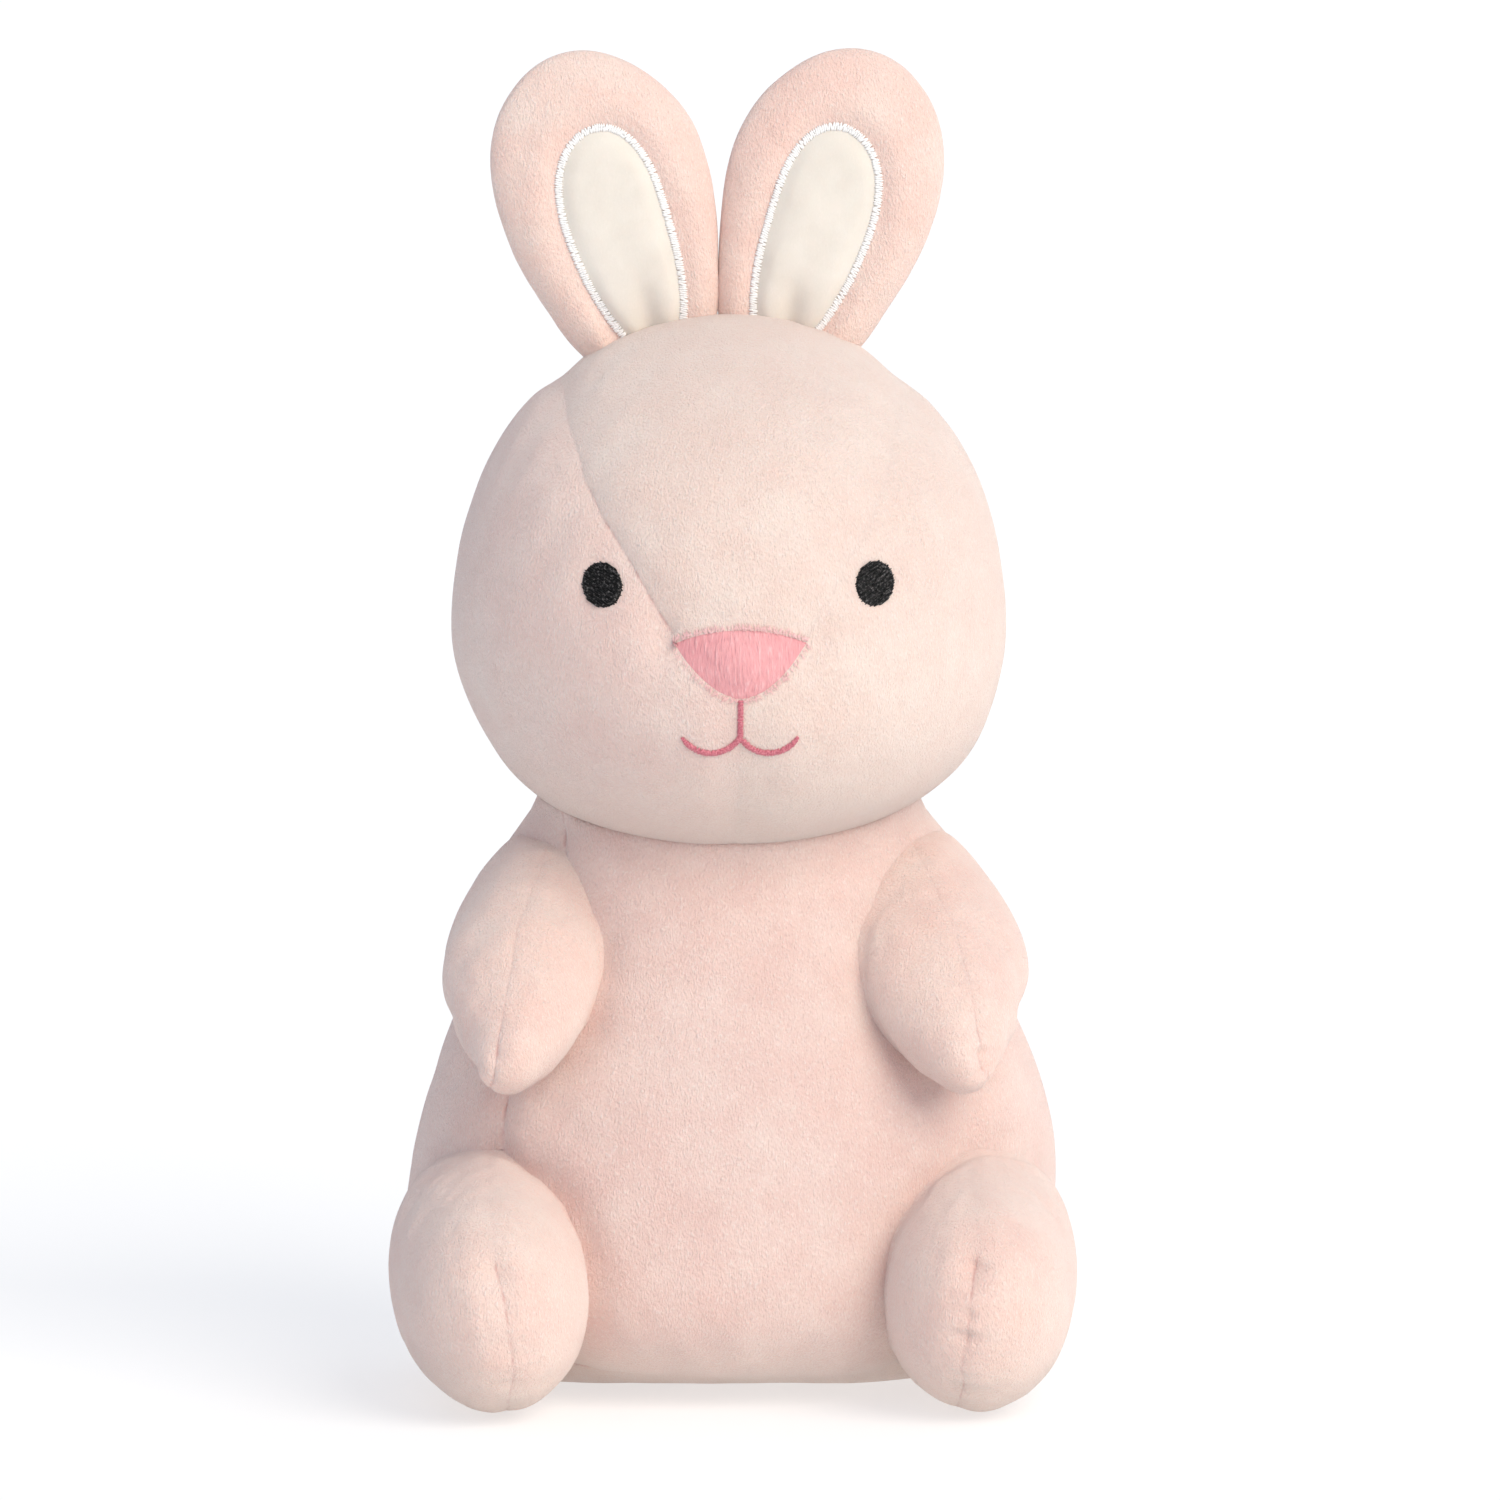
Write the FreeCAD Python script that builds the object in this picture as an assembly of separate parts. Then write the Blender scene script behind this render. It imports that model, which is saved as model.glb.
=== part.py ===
"""A sitting plush rabbit, made the way the toy is sewn: fabric panels over stuffing, embroidered face, padded ears,
stub arms and legs, and a bag of pellets in the seat.

Frame: millimetres, +Z up, the rabbit faces -Y and its left side is +X. The origin is on the table, under the middle
of the toy. Every round form is a profile of tangent arcs turned about an axis, so that each part that moves turns
inside a seat of its own shape: the head on a spherical dish, the arms in spherical pockets, the legs and the ears
about lines parallel to X.
"""

import FreeCAD, Part
import math
import os

from FreeCAD import Matrix, Placement, Rotation, Vector

# Driving dimensions, in millimetres and degrees
HEIGHT = 254.0
FABRIC = 1.2            # short-pile knit, with its nap
CLEARANCE = 0.35        # between pieces of different bodies
REACH = 400.0           # longer than anything it cuts
SEAM_TURN = 37.0        # keeps the edge that closes a turned surface away from the planes that split it
SEAM_SHIFT = 0.4        # and keeps those planes off the poles of the surface

HEAD_Y = -4.0
HEAD_RADIUS = 52.3
HEAD_BOTTOM, HEAD_TOP = 101.5, 203.5
UNDERSIDE_RADIUS, CHEEK_RADIUS, TEMPLE_RADIUS = 66.0, 38.0, 75.0

TORSO_HALF_WIDTH, TORSO_HALF_DEPTH = 62.5, 47.5
SEAT_RADIUS, SEAT_CORNER, WIDEST_Z = 35.7, 26.8, 26.5     # the corner reaches a little under the table and is cut flat
FLANK_RADIUS, FLANK_ANGLE = 102.0, 22.8
TORSO_TOP = 116.0
BASE_SEAM_Z = 4.0

NECK_RING_INNER, NECK_RING_OUTER, NECK_RING_DEPTH = 19.0, 23.0, 2.0

SHOULDER = Vector(36.0, -6.0, 94.0)
ARM_TIP = Vector(43.2, -49.0, 63.0)
ARM_ROOT_RADIUS, ARM_TIP_RADIUS, ARM_BELLY_RADIUS = 14.0, 6.0, 80.0
ARM_BALL_ROOM = 0.2     # the pocket's scoop starts this far outside the root ball
ARM_LIFT = 40.0

HIP = Vector(45.3, -16.0, 24.8)
LEG_HALF_WIDTH, LEG_FRONT_Y = 19.6, -66.0
LEG_ROOT_RADIUS, LEG_TIP_RADIUS, LEG_BELLY_RADIUS = 24.0, 21.0, 120.0
LEG_DROOP, LEG_LIFT = 4.5, 12.0

EAR_FOOT_X, EAR_LEAN, EAR_LENGTH = 14.0, 13.0, 58.0
EAR_ROOT_RADIUS, EAR_TIP_RADIUS, EAR_BELLY_RADIUS = 15.0, 20.5, 90.0
EAR_HALF_THICKNESS = 6.3
EAR_HINGE_Z = 204.5
EAR_FOLD = 50.0
EAR_GAP = 0.2           # from the middle plane, between the two ears
INNER_EAR_START, INNER_EAR_LENGTH = -4.0, 43.0
INNER_EAR_ROOT, INNER_EAR_TIP, INNER_EAR_BELLY = 9.0, 10.5, 60.0
APPLIQUE, SATIN_WIDTH, SATIN_HEIGHT = 0.6, 2.1, 0.9

EYE_X, EYE_Z, EYE_HALF_WIDTH, EYE_HALF_HEIGHT = 25.7, 158.3, 3.8, 4.4
NOSE_TOP_Z, NOSE_CORNER, NOSE_TIP_Z = 151.0, (12.4, 147.8), 137.5
MOUTH_Z, LIP_RADIUS, LIP_CENTRE = 129.2, 6.6, (5.6, 133.3)
STROKE = 1.7
THREAD_HEIGHT = 0.5

TAIL_CENTRE, TAIL_RADIUS = Vector(0, 52.0, 30.0), 14.0
PELLET_CENTRE, PELLET_RADII, PELLET_CLOTH = Vector(0, 14.0, 20.0), (33.0, 24.0, 13.0), 0.6
LABEL_SIZE, LABEL_CORNER = (14.0, 24.0, 0.5), Vector(14.0, 30.0, 5.0)
STITCH_COUNT, STITCH_PITCH, STITCH_FIRST_Z = 8, 4.0, 62.0
STITCH_RADIUS, STITCH_DEPTH, STITCH_THREAD = 1.6, 0.8, 0.35


# Shapes turned from arcs. An arc is (centre radius, centre height, radius, start angle, end angle), angles from the
# radial direction. A smaller radius about the same centres is the same form, inset by the difference.
def arc_edge(arc, inset):
    r, z, radius, start, end = arc
    points = []
    for angle in (start, (start + end) / 2, end):
        t = math.radians(angle)
        points.append(Vector(r + (radius - inset) * math.cos(t), 0, z + (radius - inset) * math.sin(t)))
    return Part.Arc(*points).toShape()


def ends(edge):
    return edge.valueAt(edge.FirstParameter), edge.valueAt(edge.LastParameter)


def turned(edges):
    """The solid of a profile that starts and ends near the Z axis, turned about that axis."""
    low, high = ends(edges[0])[0], ends(edges[-1])[1]
    foot, top = Vector(0, 0, low.z), Vector(0, 0, high.z)
    closing = [Part.LineSegment(a, b).toShape() for a, b in ((high, top), (top, foot), (foot, low))
               if a.distanceToPoint(b) > 1e-6]
    face = Part.Face(Part.Wire(Part.__sortEdges__(edges + closing)))
    face.rotate(Vector(), Vector(0, 0, 1), SEAM_TURN)
    return face.revolve(Vector(), Vector(0, 0, 1), 360)


def pod_arcs(root, tip, belly, length):
    """Root ball about the origin, a long belly arc, and a tip ball that ends at this length along +Z."""
    span = length - tip
    to_root, to_tip = belly - root, belly - tip
    along = (to_root ** 2 - to_tip ** 2 + span ** 2) / (2 * span)
    out = math.sqrt(to_root ** 2 - along ** 2)
    first = math.degrees(math.atan2(-along, out))
    second = math.degrees(math.atan2(span - along, out))
    return [(0, 0, root, -90, first), (-out, along, belly, first, second), (0, span, tip, second, 90)]


def widest(arcs):
    return max(r + radius for r, _, radius, start, end in arcs if start <= 0 <= end)


def pod(arcs, inset=0.0):
    return turned([arc_edge(arc, inset) for arc in arcs])


def scaled(shape, x=1.0, y=1.0, z=1.0):
    matrix = Matrix()
    matrix.scale(x, y, z)
    return shape.transformGeometry(matrix)


def placed(shape, turn, to):
    copy = shape.copy()
    copy.transformShape(Placement(to, turn).toMatrix(), True)
    return copy


def mirrored(shape):
    return shape.mirror(Vector(), Vector(1, 0, 0))


def sided(name, side, pieces):
    """Pieces modelled on the left, named, and mirrored when they belong on the right."""
    return {f"{name}_{side}_{part}": shape if side == "left" else mirrored(shape) for part, shape in pieces.items()}


def ball(centre, radius):
    return Part.makeSphere(radius, centre)


def half_space(normal):
    """A block that fills the side of the origin that normal points to. normal is along an axis."""
    size = 2 * REACH
    block = Part.makeBox(size, size, size, Vector(-REACH, -REACH, -REACH))
    block.translate(normal * REACH)
    return block


def prism(wire_edges, front=True):
    """A face in the XZ plane, carried forward (-Y) or back from the plane y = 0."""
    face = Part.Face(Part.Wire(Part.__sortEdges__(wire_edges)))
    return face.extrude(Vector(0, -REACH if front else REACH, 0))


def flat(x, z):
    return Vector(x, 0, z)


def line(a, b):
    return Part.LineSegment(flat(*a), flat(*b)).toShape()


def through(points):
    curve = Part.BSplineCurve()
    curve.interpolate([flat(*p) for p in points])
    return curve.toShape()


# Head
def head_arcs():
    cheek_x = HEAD_RADIUS - CHEEK_RADIUS
    under_z = HEAD_BOTTOM + UNDERSIDE_RADIUS
    under = math.degrees(math.asin(cheek_x / (UNDERSIDE_RADIUS - CHEEK_RADIUS)))
    wide_z = under_z - (UNDERSIDE_RADIUS - CHEEK_RADIUS) * math.cos(math.radians(under))
    temple_x = HEAD_RADIUS - TEMPLE_RADIUS
    rise = HEAD_TOP - wide_z
    crown = (TEMPLE_RADIUS ** 2 - temple_x ** 2 - rise ** 2) / (2 * (TEMPLE_RADIUS - rise))
    crown_z = HEAD_TOP - crown
    turn = math.degrees(math.atan2(crown_z - wide_z, -temple_x))
    return [
        (0, under_z, UNDERSIDE_RADIUS, -90, under - 90),
        (cheek_x, wide_z, CHEEK_RADIUS, under - 90, 0),
        (temple_x, wide_z, TEMPLE_RADIUS, 0, turn),
        (0, crown_z, crown, turn, 90),
    ]


HEAD_ARCS = head_arcs()
NOD_CENTRE = Vector(0, HEAD_Y, HEAD_BOTTOM + UNDERSIDE_RADIUS)
CROWN_Z, CROWN_RADIUS = HEAD_ARCS[3][1], HEAD_ARCS[3][2]


def head_form(inset=0.0):
    form = pod(HEAD_ARCS, inset)
    form.translate(Vector(0, HEAD_Y, 0))
    return form


def gusset_front():
    """The strip between the eyes, from the nose's corners up to the crown."""
    x, z = NOSE_CORNER
    edge = [(x, z), (22.0, 159.0), (26.5, 172.0), (31.0, 190.0), (32.0, HEAD_TOP + 4)]
    other = [(-a, b) for a, b in edge]
    nose_top = Part.Arc(flat(-x, z), flat(0, NOSE_TOP_Z), flat(x, z)).toShape()
    return prism([through(edge), line(edge[-1], other[-1]), through(other), nose_top])


def gusset_back():
    """The same strip down the back of the head, narrowing to the neck."""
    edge = [(32.0, HEAD_TOP + 4), (31.0, 180.0), (22.0, 140.0), (10.0, HEAD_BOTTOM - 4)]
    other = [(-a, b) for a, b in edge]
    return prism([through(edge), line(edge[0], other[0]), through(other), line(edge[-1], other[-1])], front=False)


def nose_outline():
    x, z = NOSE_CORNER
    cheek = (0.66 * x, (z + NOSE_TIP_Z) / 2 + 0.4)
    return prism([
        Part.Arc(flat(-x, z), flat(0, NOSE_TOP_Z), flat(x, z)).toShape(),
        Part.Arc(flat(x, z), flat(*cheek), flat(0, NOSE_TIP_Z)).toShape(),
        Part.Arc(flat(-x, z), flat(-cheek[0], cheek[1]), flat(0, NOSE_TIP_Z)).toShape(),
    ])


def eye_outline():
    ellipse = Part.Ellipse(Vector(), EYE_HALF_HEIGHT, EYE_HALF_WIDTH).toShape()
    upright = placed(ellipse, Rotation(Vector(0, 0, 1), Vector(0, 1, 0)), Vector())
    turned_up = placed(upright, Rotation(Vector(0, 1, 0), 90), flat(EYE_X, EYE_Z))
    return prism([turned_up])


def lip(side):
    """Half of the smile, as a band between two arcs."""
    x, z = LIP_CENTRE
    edges = []
    for radius in (LIP_RADIUS - STROKE / 2, LIP_RADIUS + STROKE / 2):
        points = [flat(side * (x - radius * math.cos(math.radians(a))), z - radius * math.sin(math.radians(a)))
                  for a in (36, 92, 150)]
        edges.append(Part.Arc(*points).toShape())
    starts, stops = zip(*(ends(e) for e in edges))
    caps = [Part.LineSegment(*starts).toShape(), Part.LineSegment(*stops).toShape()]
    return prism(edges + caps)


def mouth_outline():
    half = STROKE / 2
    corners = [(-half, MOUTH_Z - half), (half, MOUTH_Z - half), (half, NOSE_TIP_Z), (-half, NOSE_TIP_Z)]
    stroke = prism([line(a, b) for a, b in zip(corners, corners[1:] + corners[:1])])
    return stroke.fuse([lip(1), lip(-1)]).removeSplitter()


def make_head():
    outside, inside = head_form(), head_form(FABRIC)
    skin = outside.cut(inside)
    gusset_zone = gusset_front().fuse(gusset_back())
    nose_zone = nose_outline()
    sides = skin.cut([gusset_zone, nose_zone])
    left = half_space(Vector(1, 0, 0))
    thread = head_form(-THREAD_HEIGHT).cut(outside)
    eye = thread.common(eye_outline())
    return {
        "head_gusset": skin.common(gusset_zone),
        "nose_panel": skin.common(nose_zone),
        "head_side_left": sides.common(left),
        "head_side_right": sides.cut(left),
        "head_stuffing": inside,
        "eye_left": eye,
        "eye_right": mirrored(eye),
        "mouth_stitching": thread.common(mouth_outline()),
    }


# Ears
EAR_ARCS = pod_arcs(EAR_ROOT_RADIUS, EAR_TIP_RADIUS, EAR_BELLY_RADIUS, EAR_LENGTH)
EAR_TURN = Rotation(Vector(0, 1, 0), EAR_LEAN)


def ear_foot():
    """The middle of the ear's root, set so that the tip reaches the toy's full height."""
    lean = math.radians(EAR_LEAN)
    rise = (EAR_LENGTH - EAR_TIP_RADIUS) * math.cos(lean) + EAR_TIP_RADIUS
    return Vector(EAR_FOOT_X, 0, HEIGHT - rise)


def ear_form(inset=0.0):
    wide = widest(EAR_ARCS) - inset
    form = scaled(pod(EAR_ARCS, inset), y=(EAR_HALF_THICKNESS - inset) / wide)
    return placed(form, EAR_TURN, ear_foot())


def ear_room():
    """All that an ear may fill: above a V about its hinge line, and below that a root that turns clear of the crown."""
    spread = math.tan(math.radians(90 - EAR_FOLD)) * REACH
    corners = [Vector(EAR_GAP, 0, EAR_HINGE_Z), Vector(EAR_GAP, spread, EAR_HINGE_Z + REACH),
               Vector(EAR_GAP, -spread, EAR_HINGE_Z + REACH)]
    vee = Part.Face(Part.makePolygon(corners + corners[:1])).extrude(Vector(REACH, 0, 0))
    crown = math.sqrt(CROWN_RADIUS ** 2 - HEAD_Y ** 2)
    reach = [(x, CROWN_Z + math.sqrt(crown ** 2 - x ** 2) + CLEARANCE) for x in (1.0, 16.0, 31.0)]
    dome = Part.Arc(*[flat(*p) for p in reach]).toShape()
    first, last = reach[0], reach[-1]
    profile = Part.Wire(Part.__sortEdges__([
        dome,
        line(last, (last[0], EAR_HINGE_Z)),
        line((last[0], EAR_HINGE_Z), (first[0], EAR_HINGE_Z)),
        line((first[0], EAR_HINGE_Z), first),
    ]))
    root = Part.Face(profile).revolve(Vector(0, 0, EAR_HINGE_Z), Vector(1, 0, 0), 360)
    return vee.fuse(root)


def inner_ear_outline(grow):
    """The cream patch's outline on the front of the ear, grown by this much, as a prism."""
    arcs = pod_arcs(INNER_EAR_ROOT, INNER_EAR_TIP, INNER_EAR_BELLY, INNER_EAR_LENGTH - INNER_EAR_START)
    half = [arc_edge(arc, -grow) for arc in arcs]
    other = [mirrored(edge) for edge in half]
    face = Part.Face(Part.Wire(Part.__sortEdges__(half + other)))
    turn = Rotation(Vector(0, 1, 0), EAR_LEAN)
    foot = ear_foot() + turn.multVec(Vector(0, 0, INNER_EAR_START))
    return placed(face.extrude(Vector(0, -REACH, 0)), turn, foot)


def make_ear(side):
    room = ear_room()
    outside, inside = ear_form().common(room), ear_form(FABRIC).common(room)
    shell = outside.cut(inside)
    front = half_space(Vector(0, -1, 0))
    front.translate(Vector(0, SEAM_SHIFT, 0))
    patch = ear_form(-APPLIQUE).common(room).cut(outside)
    satin = ear_form(-SATIN_HEIGHT).common(room).cut(outside)
    hole = inner_ear_outline(-SATIN_WIDTH / 2)
    ring = inner_ear_outline(SATIN_WIDTH / 2).cut(hole)
    pieces = {
        "front": shell.common(front),
        "back": shell.cut(front),
        "inner": patch.common(hole),
        "satin_edge": satin.common(ring),
        "stuffing": inside,
    }
    return sided("ear", side, pieces)


# Torso, with the pockets that the arms, legs and head turn in
def torso_form(inset=0.0):
    corner = (SEAT_RADIUS, WIDEST_Z, SEAT_CORNER, -90, 0)
    flank = (TORSO_HALF_WIDTH - FLANK_RADIUS, WIDEST_Z, FLANK_RADIUS, 0, FLANK_ANGLE)
    edges = [arc_edge(corner, inset), arc_edge(flank, inset)]
    foot = ends(edges[-1])[1]
    lean = math.tan(math.radians(FLANK_ANGLE))
    edges.append(Part.LineSegment(foot, Vector(foot.x - (TORSO_TOP - foot.z) * lean, 0, TORSO_TOP)).toShape())
    form = scaled(turned(edges), y=(TORSO_HALF_DEPTH - inset) / (TORSO_HALF_WIDTH - inset))
    below = half_space(Vector(0, 0, -1))
    below.translate(Vector(0, 0, inset))
    return form.cut(below)


def neck_ring():
    """The doubled edge of the neck seam. It turns with the head, on the dish that the head nods over."""
    outer_cup = ball(NOD_CENTRE, UNDERSIDE_RADIUS + CLEARANCE + NECK_RING_DEPTH)
    tube = ring_tube(NECK_RING_INNER, NECK_RING_OUTER)
    return tube.common(outer_cup).cut(ball(NOD_CENTRE, UNDERSIDE_RADIUS + CLEARANCE))


def ring_tube(inner, outer):
    foot = Vector(0, HEAD_Y, HEAD_BOTTOM - 20)
    return Part.makeCylinder(outer, 40, foot).cut(Part.makeCylinder(inner, 40, foot))


def neck_groove():
    cup = ball(NOD_CENTRE, UNDERSIDE_RADIUS + NECK_RING_DEPTH + 2 * CLEARANCE)
    return ring_tube(NECK_RING_INNER - CLEARANCE, NECK_RING_OUTER + CLEARANCE).common(cup)


def pockets():
    """Everything that the torso leaves room for."""
    dish = ball(NOD_CENTRE, UNDERSIDE_RADIUS + CLEARANCE)
    shoulder = ball(SHOULDER, ARM_ROOT_RADIUS + CLEARANCE + ARM_BALL_ROOM)
    leg = leg_form(-CLEARANCE)
    lifted = leg.copy()
    lifted.rotate(HIP, Vector(-1, 0, 0), LEG_LIFT)
    one_side = [shoulder, leg, lifted]
    return [dish, neck_groove()] + one_side + [mirrored(s) for s in one_side]


def belly_zone():
    """The front of the torso between its two side seams."""
    edge = [(31.0, TORSO_TOP), (33.5, 98.0), (41.0, 70.0), (46.0, 45.0), (46.5, 0.0)]
    other = [(-a, b) for a, b in edge]
    return prism([through(edge), line(edge[0], other[0]), through(other), line(edge[-1], other[-1])])


def pellet_form(inset=0.0):
    x, y, z = (r - inset for r in PELLET_RADII)
    form = scaled(ball(Vector(), 1.0), x, y, z)
    form.translate(PELLET_CENTRE)
    return form


def back_y(z):
    """Where the outside of the torso is at this height on its back seam, above the flank arc's widest part."""
    arc_end = math.radians(FLANK_ANGLE)
    rise = z - WIDEST_Z
    if rise < FLANK_RADIUS * math.sin(arc_end):
        half_width = TORSO_HALF_WIDTH - FLANK_RADIUS + math.sqrt(FLANK_RADIUS ** 2 - rise ** 2)
    else:
        over = rise - FLANK_RADIUS * math.sin(arc_end)
        half_width = TORSO_HALF_WIDTH - FLANK_RADIUS + FLANK_RADIUS * math.cos(arc_end) - over * math.tan(arc_end)
    return half_width * TORSO_HALF_DEPTH / TORSO_HALF_WIDTH


def closing_stitches():
    """Ladder stitches across the back seam, where the toy was closed after stuffing."""
    stitches = []
    for i in range(STITCH_COUNT):
        z = STITCH_FIRST_Z + i * STITCH_PITCH
        centre = Vector(0, back_y(z) - STITCH_DEPTH, z)
        ring = Part.makeTorus(STITCH_RADIUS, STITCH_THREAD, centre, Vector(0, 0, 1))
        stitches.append(ring.cut(torso_form()))
    return Part.makeCompound(stitches)


def make_torso():
    cuts = pockets()
    outside, inside = torso_form(), torso_form(FABRIC)
    skin = outside.cut(inside)
    skin = skin.cut(cuts)
    below_seam = half_space(Vector(0, 0, -1))
    below_seam.translate(Vector(0, 0, BASE_SEAM_Z))
    wall = skin.cut(below_seam)
    belly = wall.common(belly_zone())
    back = wall.cut(belly_zone())
    left = half_space(Vector(1, 0, 0))
    tail, tail_core = ball(TAIL_CENTRE, TAIL_RADIUS), ball(TAIL_CENTRE, TAIL_RADIUS - FABRIC)
    label = Part.makeBox(*LABEL_SIZE, LABEL_CORNER)
    return {
        "belly_panel": belly,
        "back_panel_left": back.common(left),
        "back_panel_right": back.cut(left),
        "base_panel": skin.common(below_seam),
        "torso_stuffing": inside.cut(cuts + [pellet_form()]),
        "pellet_bag": pellet_form().cut(pellet_form(PELLET_CLOTH)),
        "pellet_fill": pellet_form(PELLET_CLOTH),
        "tail_cover": tail.cut(tail_core).cut(outside),
        "tail_stuffing": tail_core.cut(outside),
        "care_label": label.cut(outside),
        "closing_stitches": closing_stitches(),
        "neck_seam_ring": neck_ring(),
    }


# Limbs
def pointing(direction):
    return Rotation(Vector(0, 0, 1), direction)


def arm_form(inset=0.0):
    along = ARM_TIP - SHOULDER
    arcs = pod_arcs(ARM_ROOT_RADIUS, ARM_TIP_RADIUS, ARM_BELLY_RADIUS, along.Length)
    return placed(pod(arcs, inset), pointing(along), SHOULDER)


def leg_form(inset=0.0):
    reach = (HIP.y - LEG_FRONT_Y - LEG_TIP_RADIUS) / math.cos(math.radians(LEG_DROOP))
    arcs = pod_arcs(LEG_ROOT_RADIUS, LEG_TIP_RADIUS, LEG_BELLY_RADIUS, reach + LEG_TIP_RADIUS)
    wide = widest(arcs)
    form = scaled(pod(arcs, inset), x=(LEG_HALF_WIDTH - inset) / (wide - inset))
    return placed(form, Rotation(Vector(1, 0, 0), 90 + LEG_DROOP), HIP)


def limb(name, outside, inside, seam_x, side):
    """Two panels that meet in a seam down the middle of the limb, over stuffing."""
    outer = half_space(Vector(1, 0, 0))
    outer.translate(Vector(seam_x + SEAM_SHIFT, 0, 0))
    shell = outside.cut(inside)
    pieces = {"outer_panel": shell.common(outer), "inner_panel": shell.cut(outer), "stuffing": inside}
    return sided(name, side, pieces)


def make_arm(side):
    """An arm whose inner side clears the chest all the way up its lift."""
    chest = []
    for share in (0.0, 0.5, 1.0):
        seen = torso_form(-CLEARANCE)
        seen.rotate(SHOULDER, Vector(1, 0, 0), share * ARM_LIFT)
        chest.append(seen.cut(ball(SHOULDER, ARM_ROOT_RADIUS + ARM_BALL_ROOM)))
    outside, inside = arm_form().cut(chest), arm_form(FABRIC).cut(chest)
    return limb("arm", outside, inside, (SHOULDER.x + ARM_TIP.x) / 2, side)


def make_leg(side):
    return limb("leg", leg_form(), leg_form(FABRIC), HIP.x, side)


def make_all():
    shapes = {**make_torso(), **make_head()}
    for side in ("left", "right"):
        shapes.update(make_ear(side))
        shapes.update(make_arm(side))
        shapes.update(make_leg(side))
    return shapes


def main():
    os.makedirs("parts", exist_ok=True)
    for name, shape in make_all().items():
        solids = shape.Solids
        good = bool(solids) and shape.isValid() and all(s.Volume > 0 for s in solids)
        print(f"{name:24s} {len(solids)} solid(s) {shape.Volume / 1000:9.2f} cm3 {'ok' if good else 'BAD'}")
        kept = solids[0] if len(solids) == 1 else Part.makeCompound(solids)
        kept.exportStep(f"parts/{name}.step")


main()
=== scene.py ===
"""How the sitting plush rabbit looks: sewn panels of short-pile plush, a stitched face and padded ears.

Every shape is worked out in millimetres in the CAD frame, from the same profiles as the CAD solids, and
becomes a mesh in metres. A stuffed part starts as a ball of triangles pushed out to its form, is puckered by
a short cloth simulation, is cut along its seams, and is split into its fabric panels.
"""

import math

import bpy
import numpy as np
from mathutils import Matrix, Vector
from mathutils.bvhtree import BVHTree
from mathutils.kdtree import KDTree


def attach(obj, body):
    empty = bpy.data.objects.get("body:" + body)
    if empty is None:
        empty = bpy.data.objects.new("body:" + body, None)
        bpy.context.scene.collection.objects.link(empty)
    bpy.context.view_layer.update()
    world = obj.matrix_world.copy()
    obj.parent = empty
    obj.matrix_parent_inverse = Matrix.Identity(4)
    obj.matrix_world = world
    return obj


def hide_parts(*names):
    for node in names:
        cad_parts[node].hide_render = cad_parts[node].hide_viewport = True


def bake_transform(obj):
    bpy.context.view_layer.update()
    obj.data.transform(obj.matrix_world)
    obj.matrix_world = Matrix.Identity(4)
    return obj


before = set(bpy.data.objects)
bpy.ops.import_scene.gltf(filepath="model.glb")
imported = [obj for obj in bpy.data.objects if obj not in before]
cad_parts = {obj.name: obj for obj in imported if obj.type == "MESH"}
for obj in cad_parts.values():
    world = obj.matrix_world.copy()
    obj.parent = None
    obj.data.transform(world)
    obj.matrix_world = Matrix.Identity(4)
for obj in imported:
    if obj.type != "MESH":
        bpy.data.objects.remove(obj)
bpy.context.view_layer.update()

MM = 0.001
FABRIC = 1.0  # thickness of a panel in mm
UP = np.array([0.0, 0.0, 1.0])


# ------ numbers on meshes
def unit(v):
    return v / np.maximum(np.linalg.norm(v, axis=-1, keepdims=True), 1e-12)


def bell(x, width):
    return np.exp(-((x / width) ** 2))


def ramp(x, low, high):
    t = np.clip((x - low) / (high - low), 0, 1)
    return t * t * (3 - 2 * t)


def noise(points, size, seed=0):
    """Smooth noise from -1 to 1 with lumps of this size."""
    q = np.asarray(points, float) / size + seed * 7.31
    cell = np.floor(q).astype(np.int64)
    t = q - cell
    t = t * t * t * (t * (t * 6 - 15) + 10)
    total = np.zeros(len(q))
    for corner in np.ndindex(2, 2, 2):
        c = cell + np.array(corner)
        h = (c[:, 0] * 73856093) ^ (c[:, 1] * 19349663) ^ (c[:, 2] * 83492791) ^ (seed * 2654435761)
        h = ((h ^ (h >> 13)) * 1274126177) & 0xFFFFFFFF
        h = (h ^ (h >> 16)) & 0xFFFF
        total += (h / 32767.5 - 1) * np.prod(np.where(corner, t, 1 - t), axis=1)
    return total


def edges_round(tris):
    return np.concatenate([tris[:, [0, 1]], tris[:, [1, 2]], tris[:, [2, 0]]])


def unique_edges(tris):
    pairs = np.sort(edges_round(tris), axis=1)
    edges, inverse = np.unique(pairs, axis=0, return_inverse=True)
    return edges, inverse.reshape(3, -1).T


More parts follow.
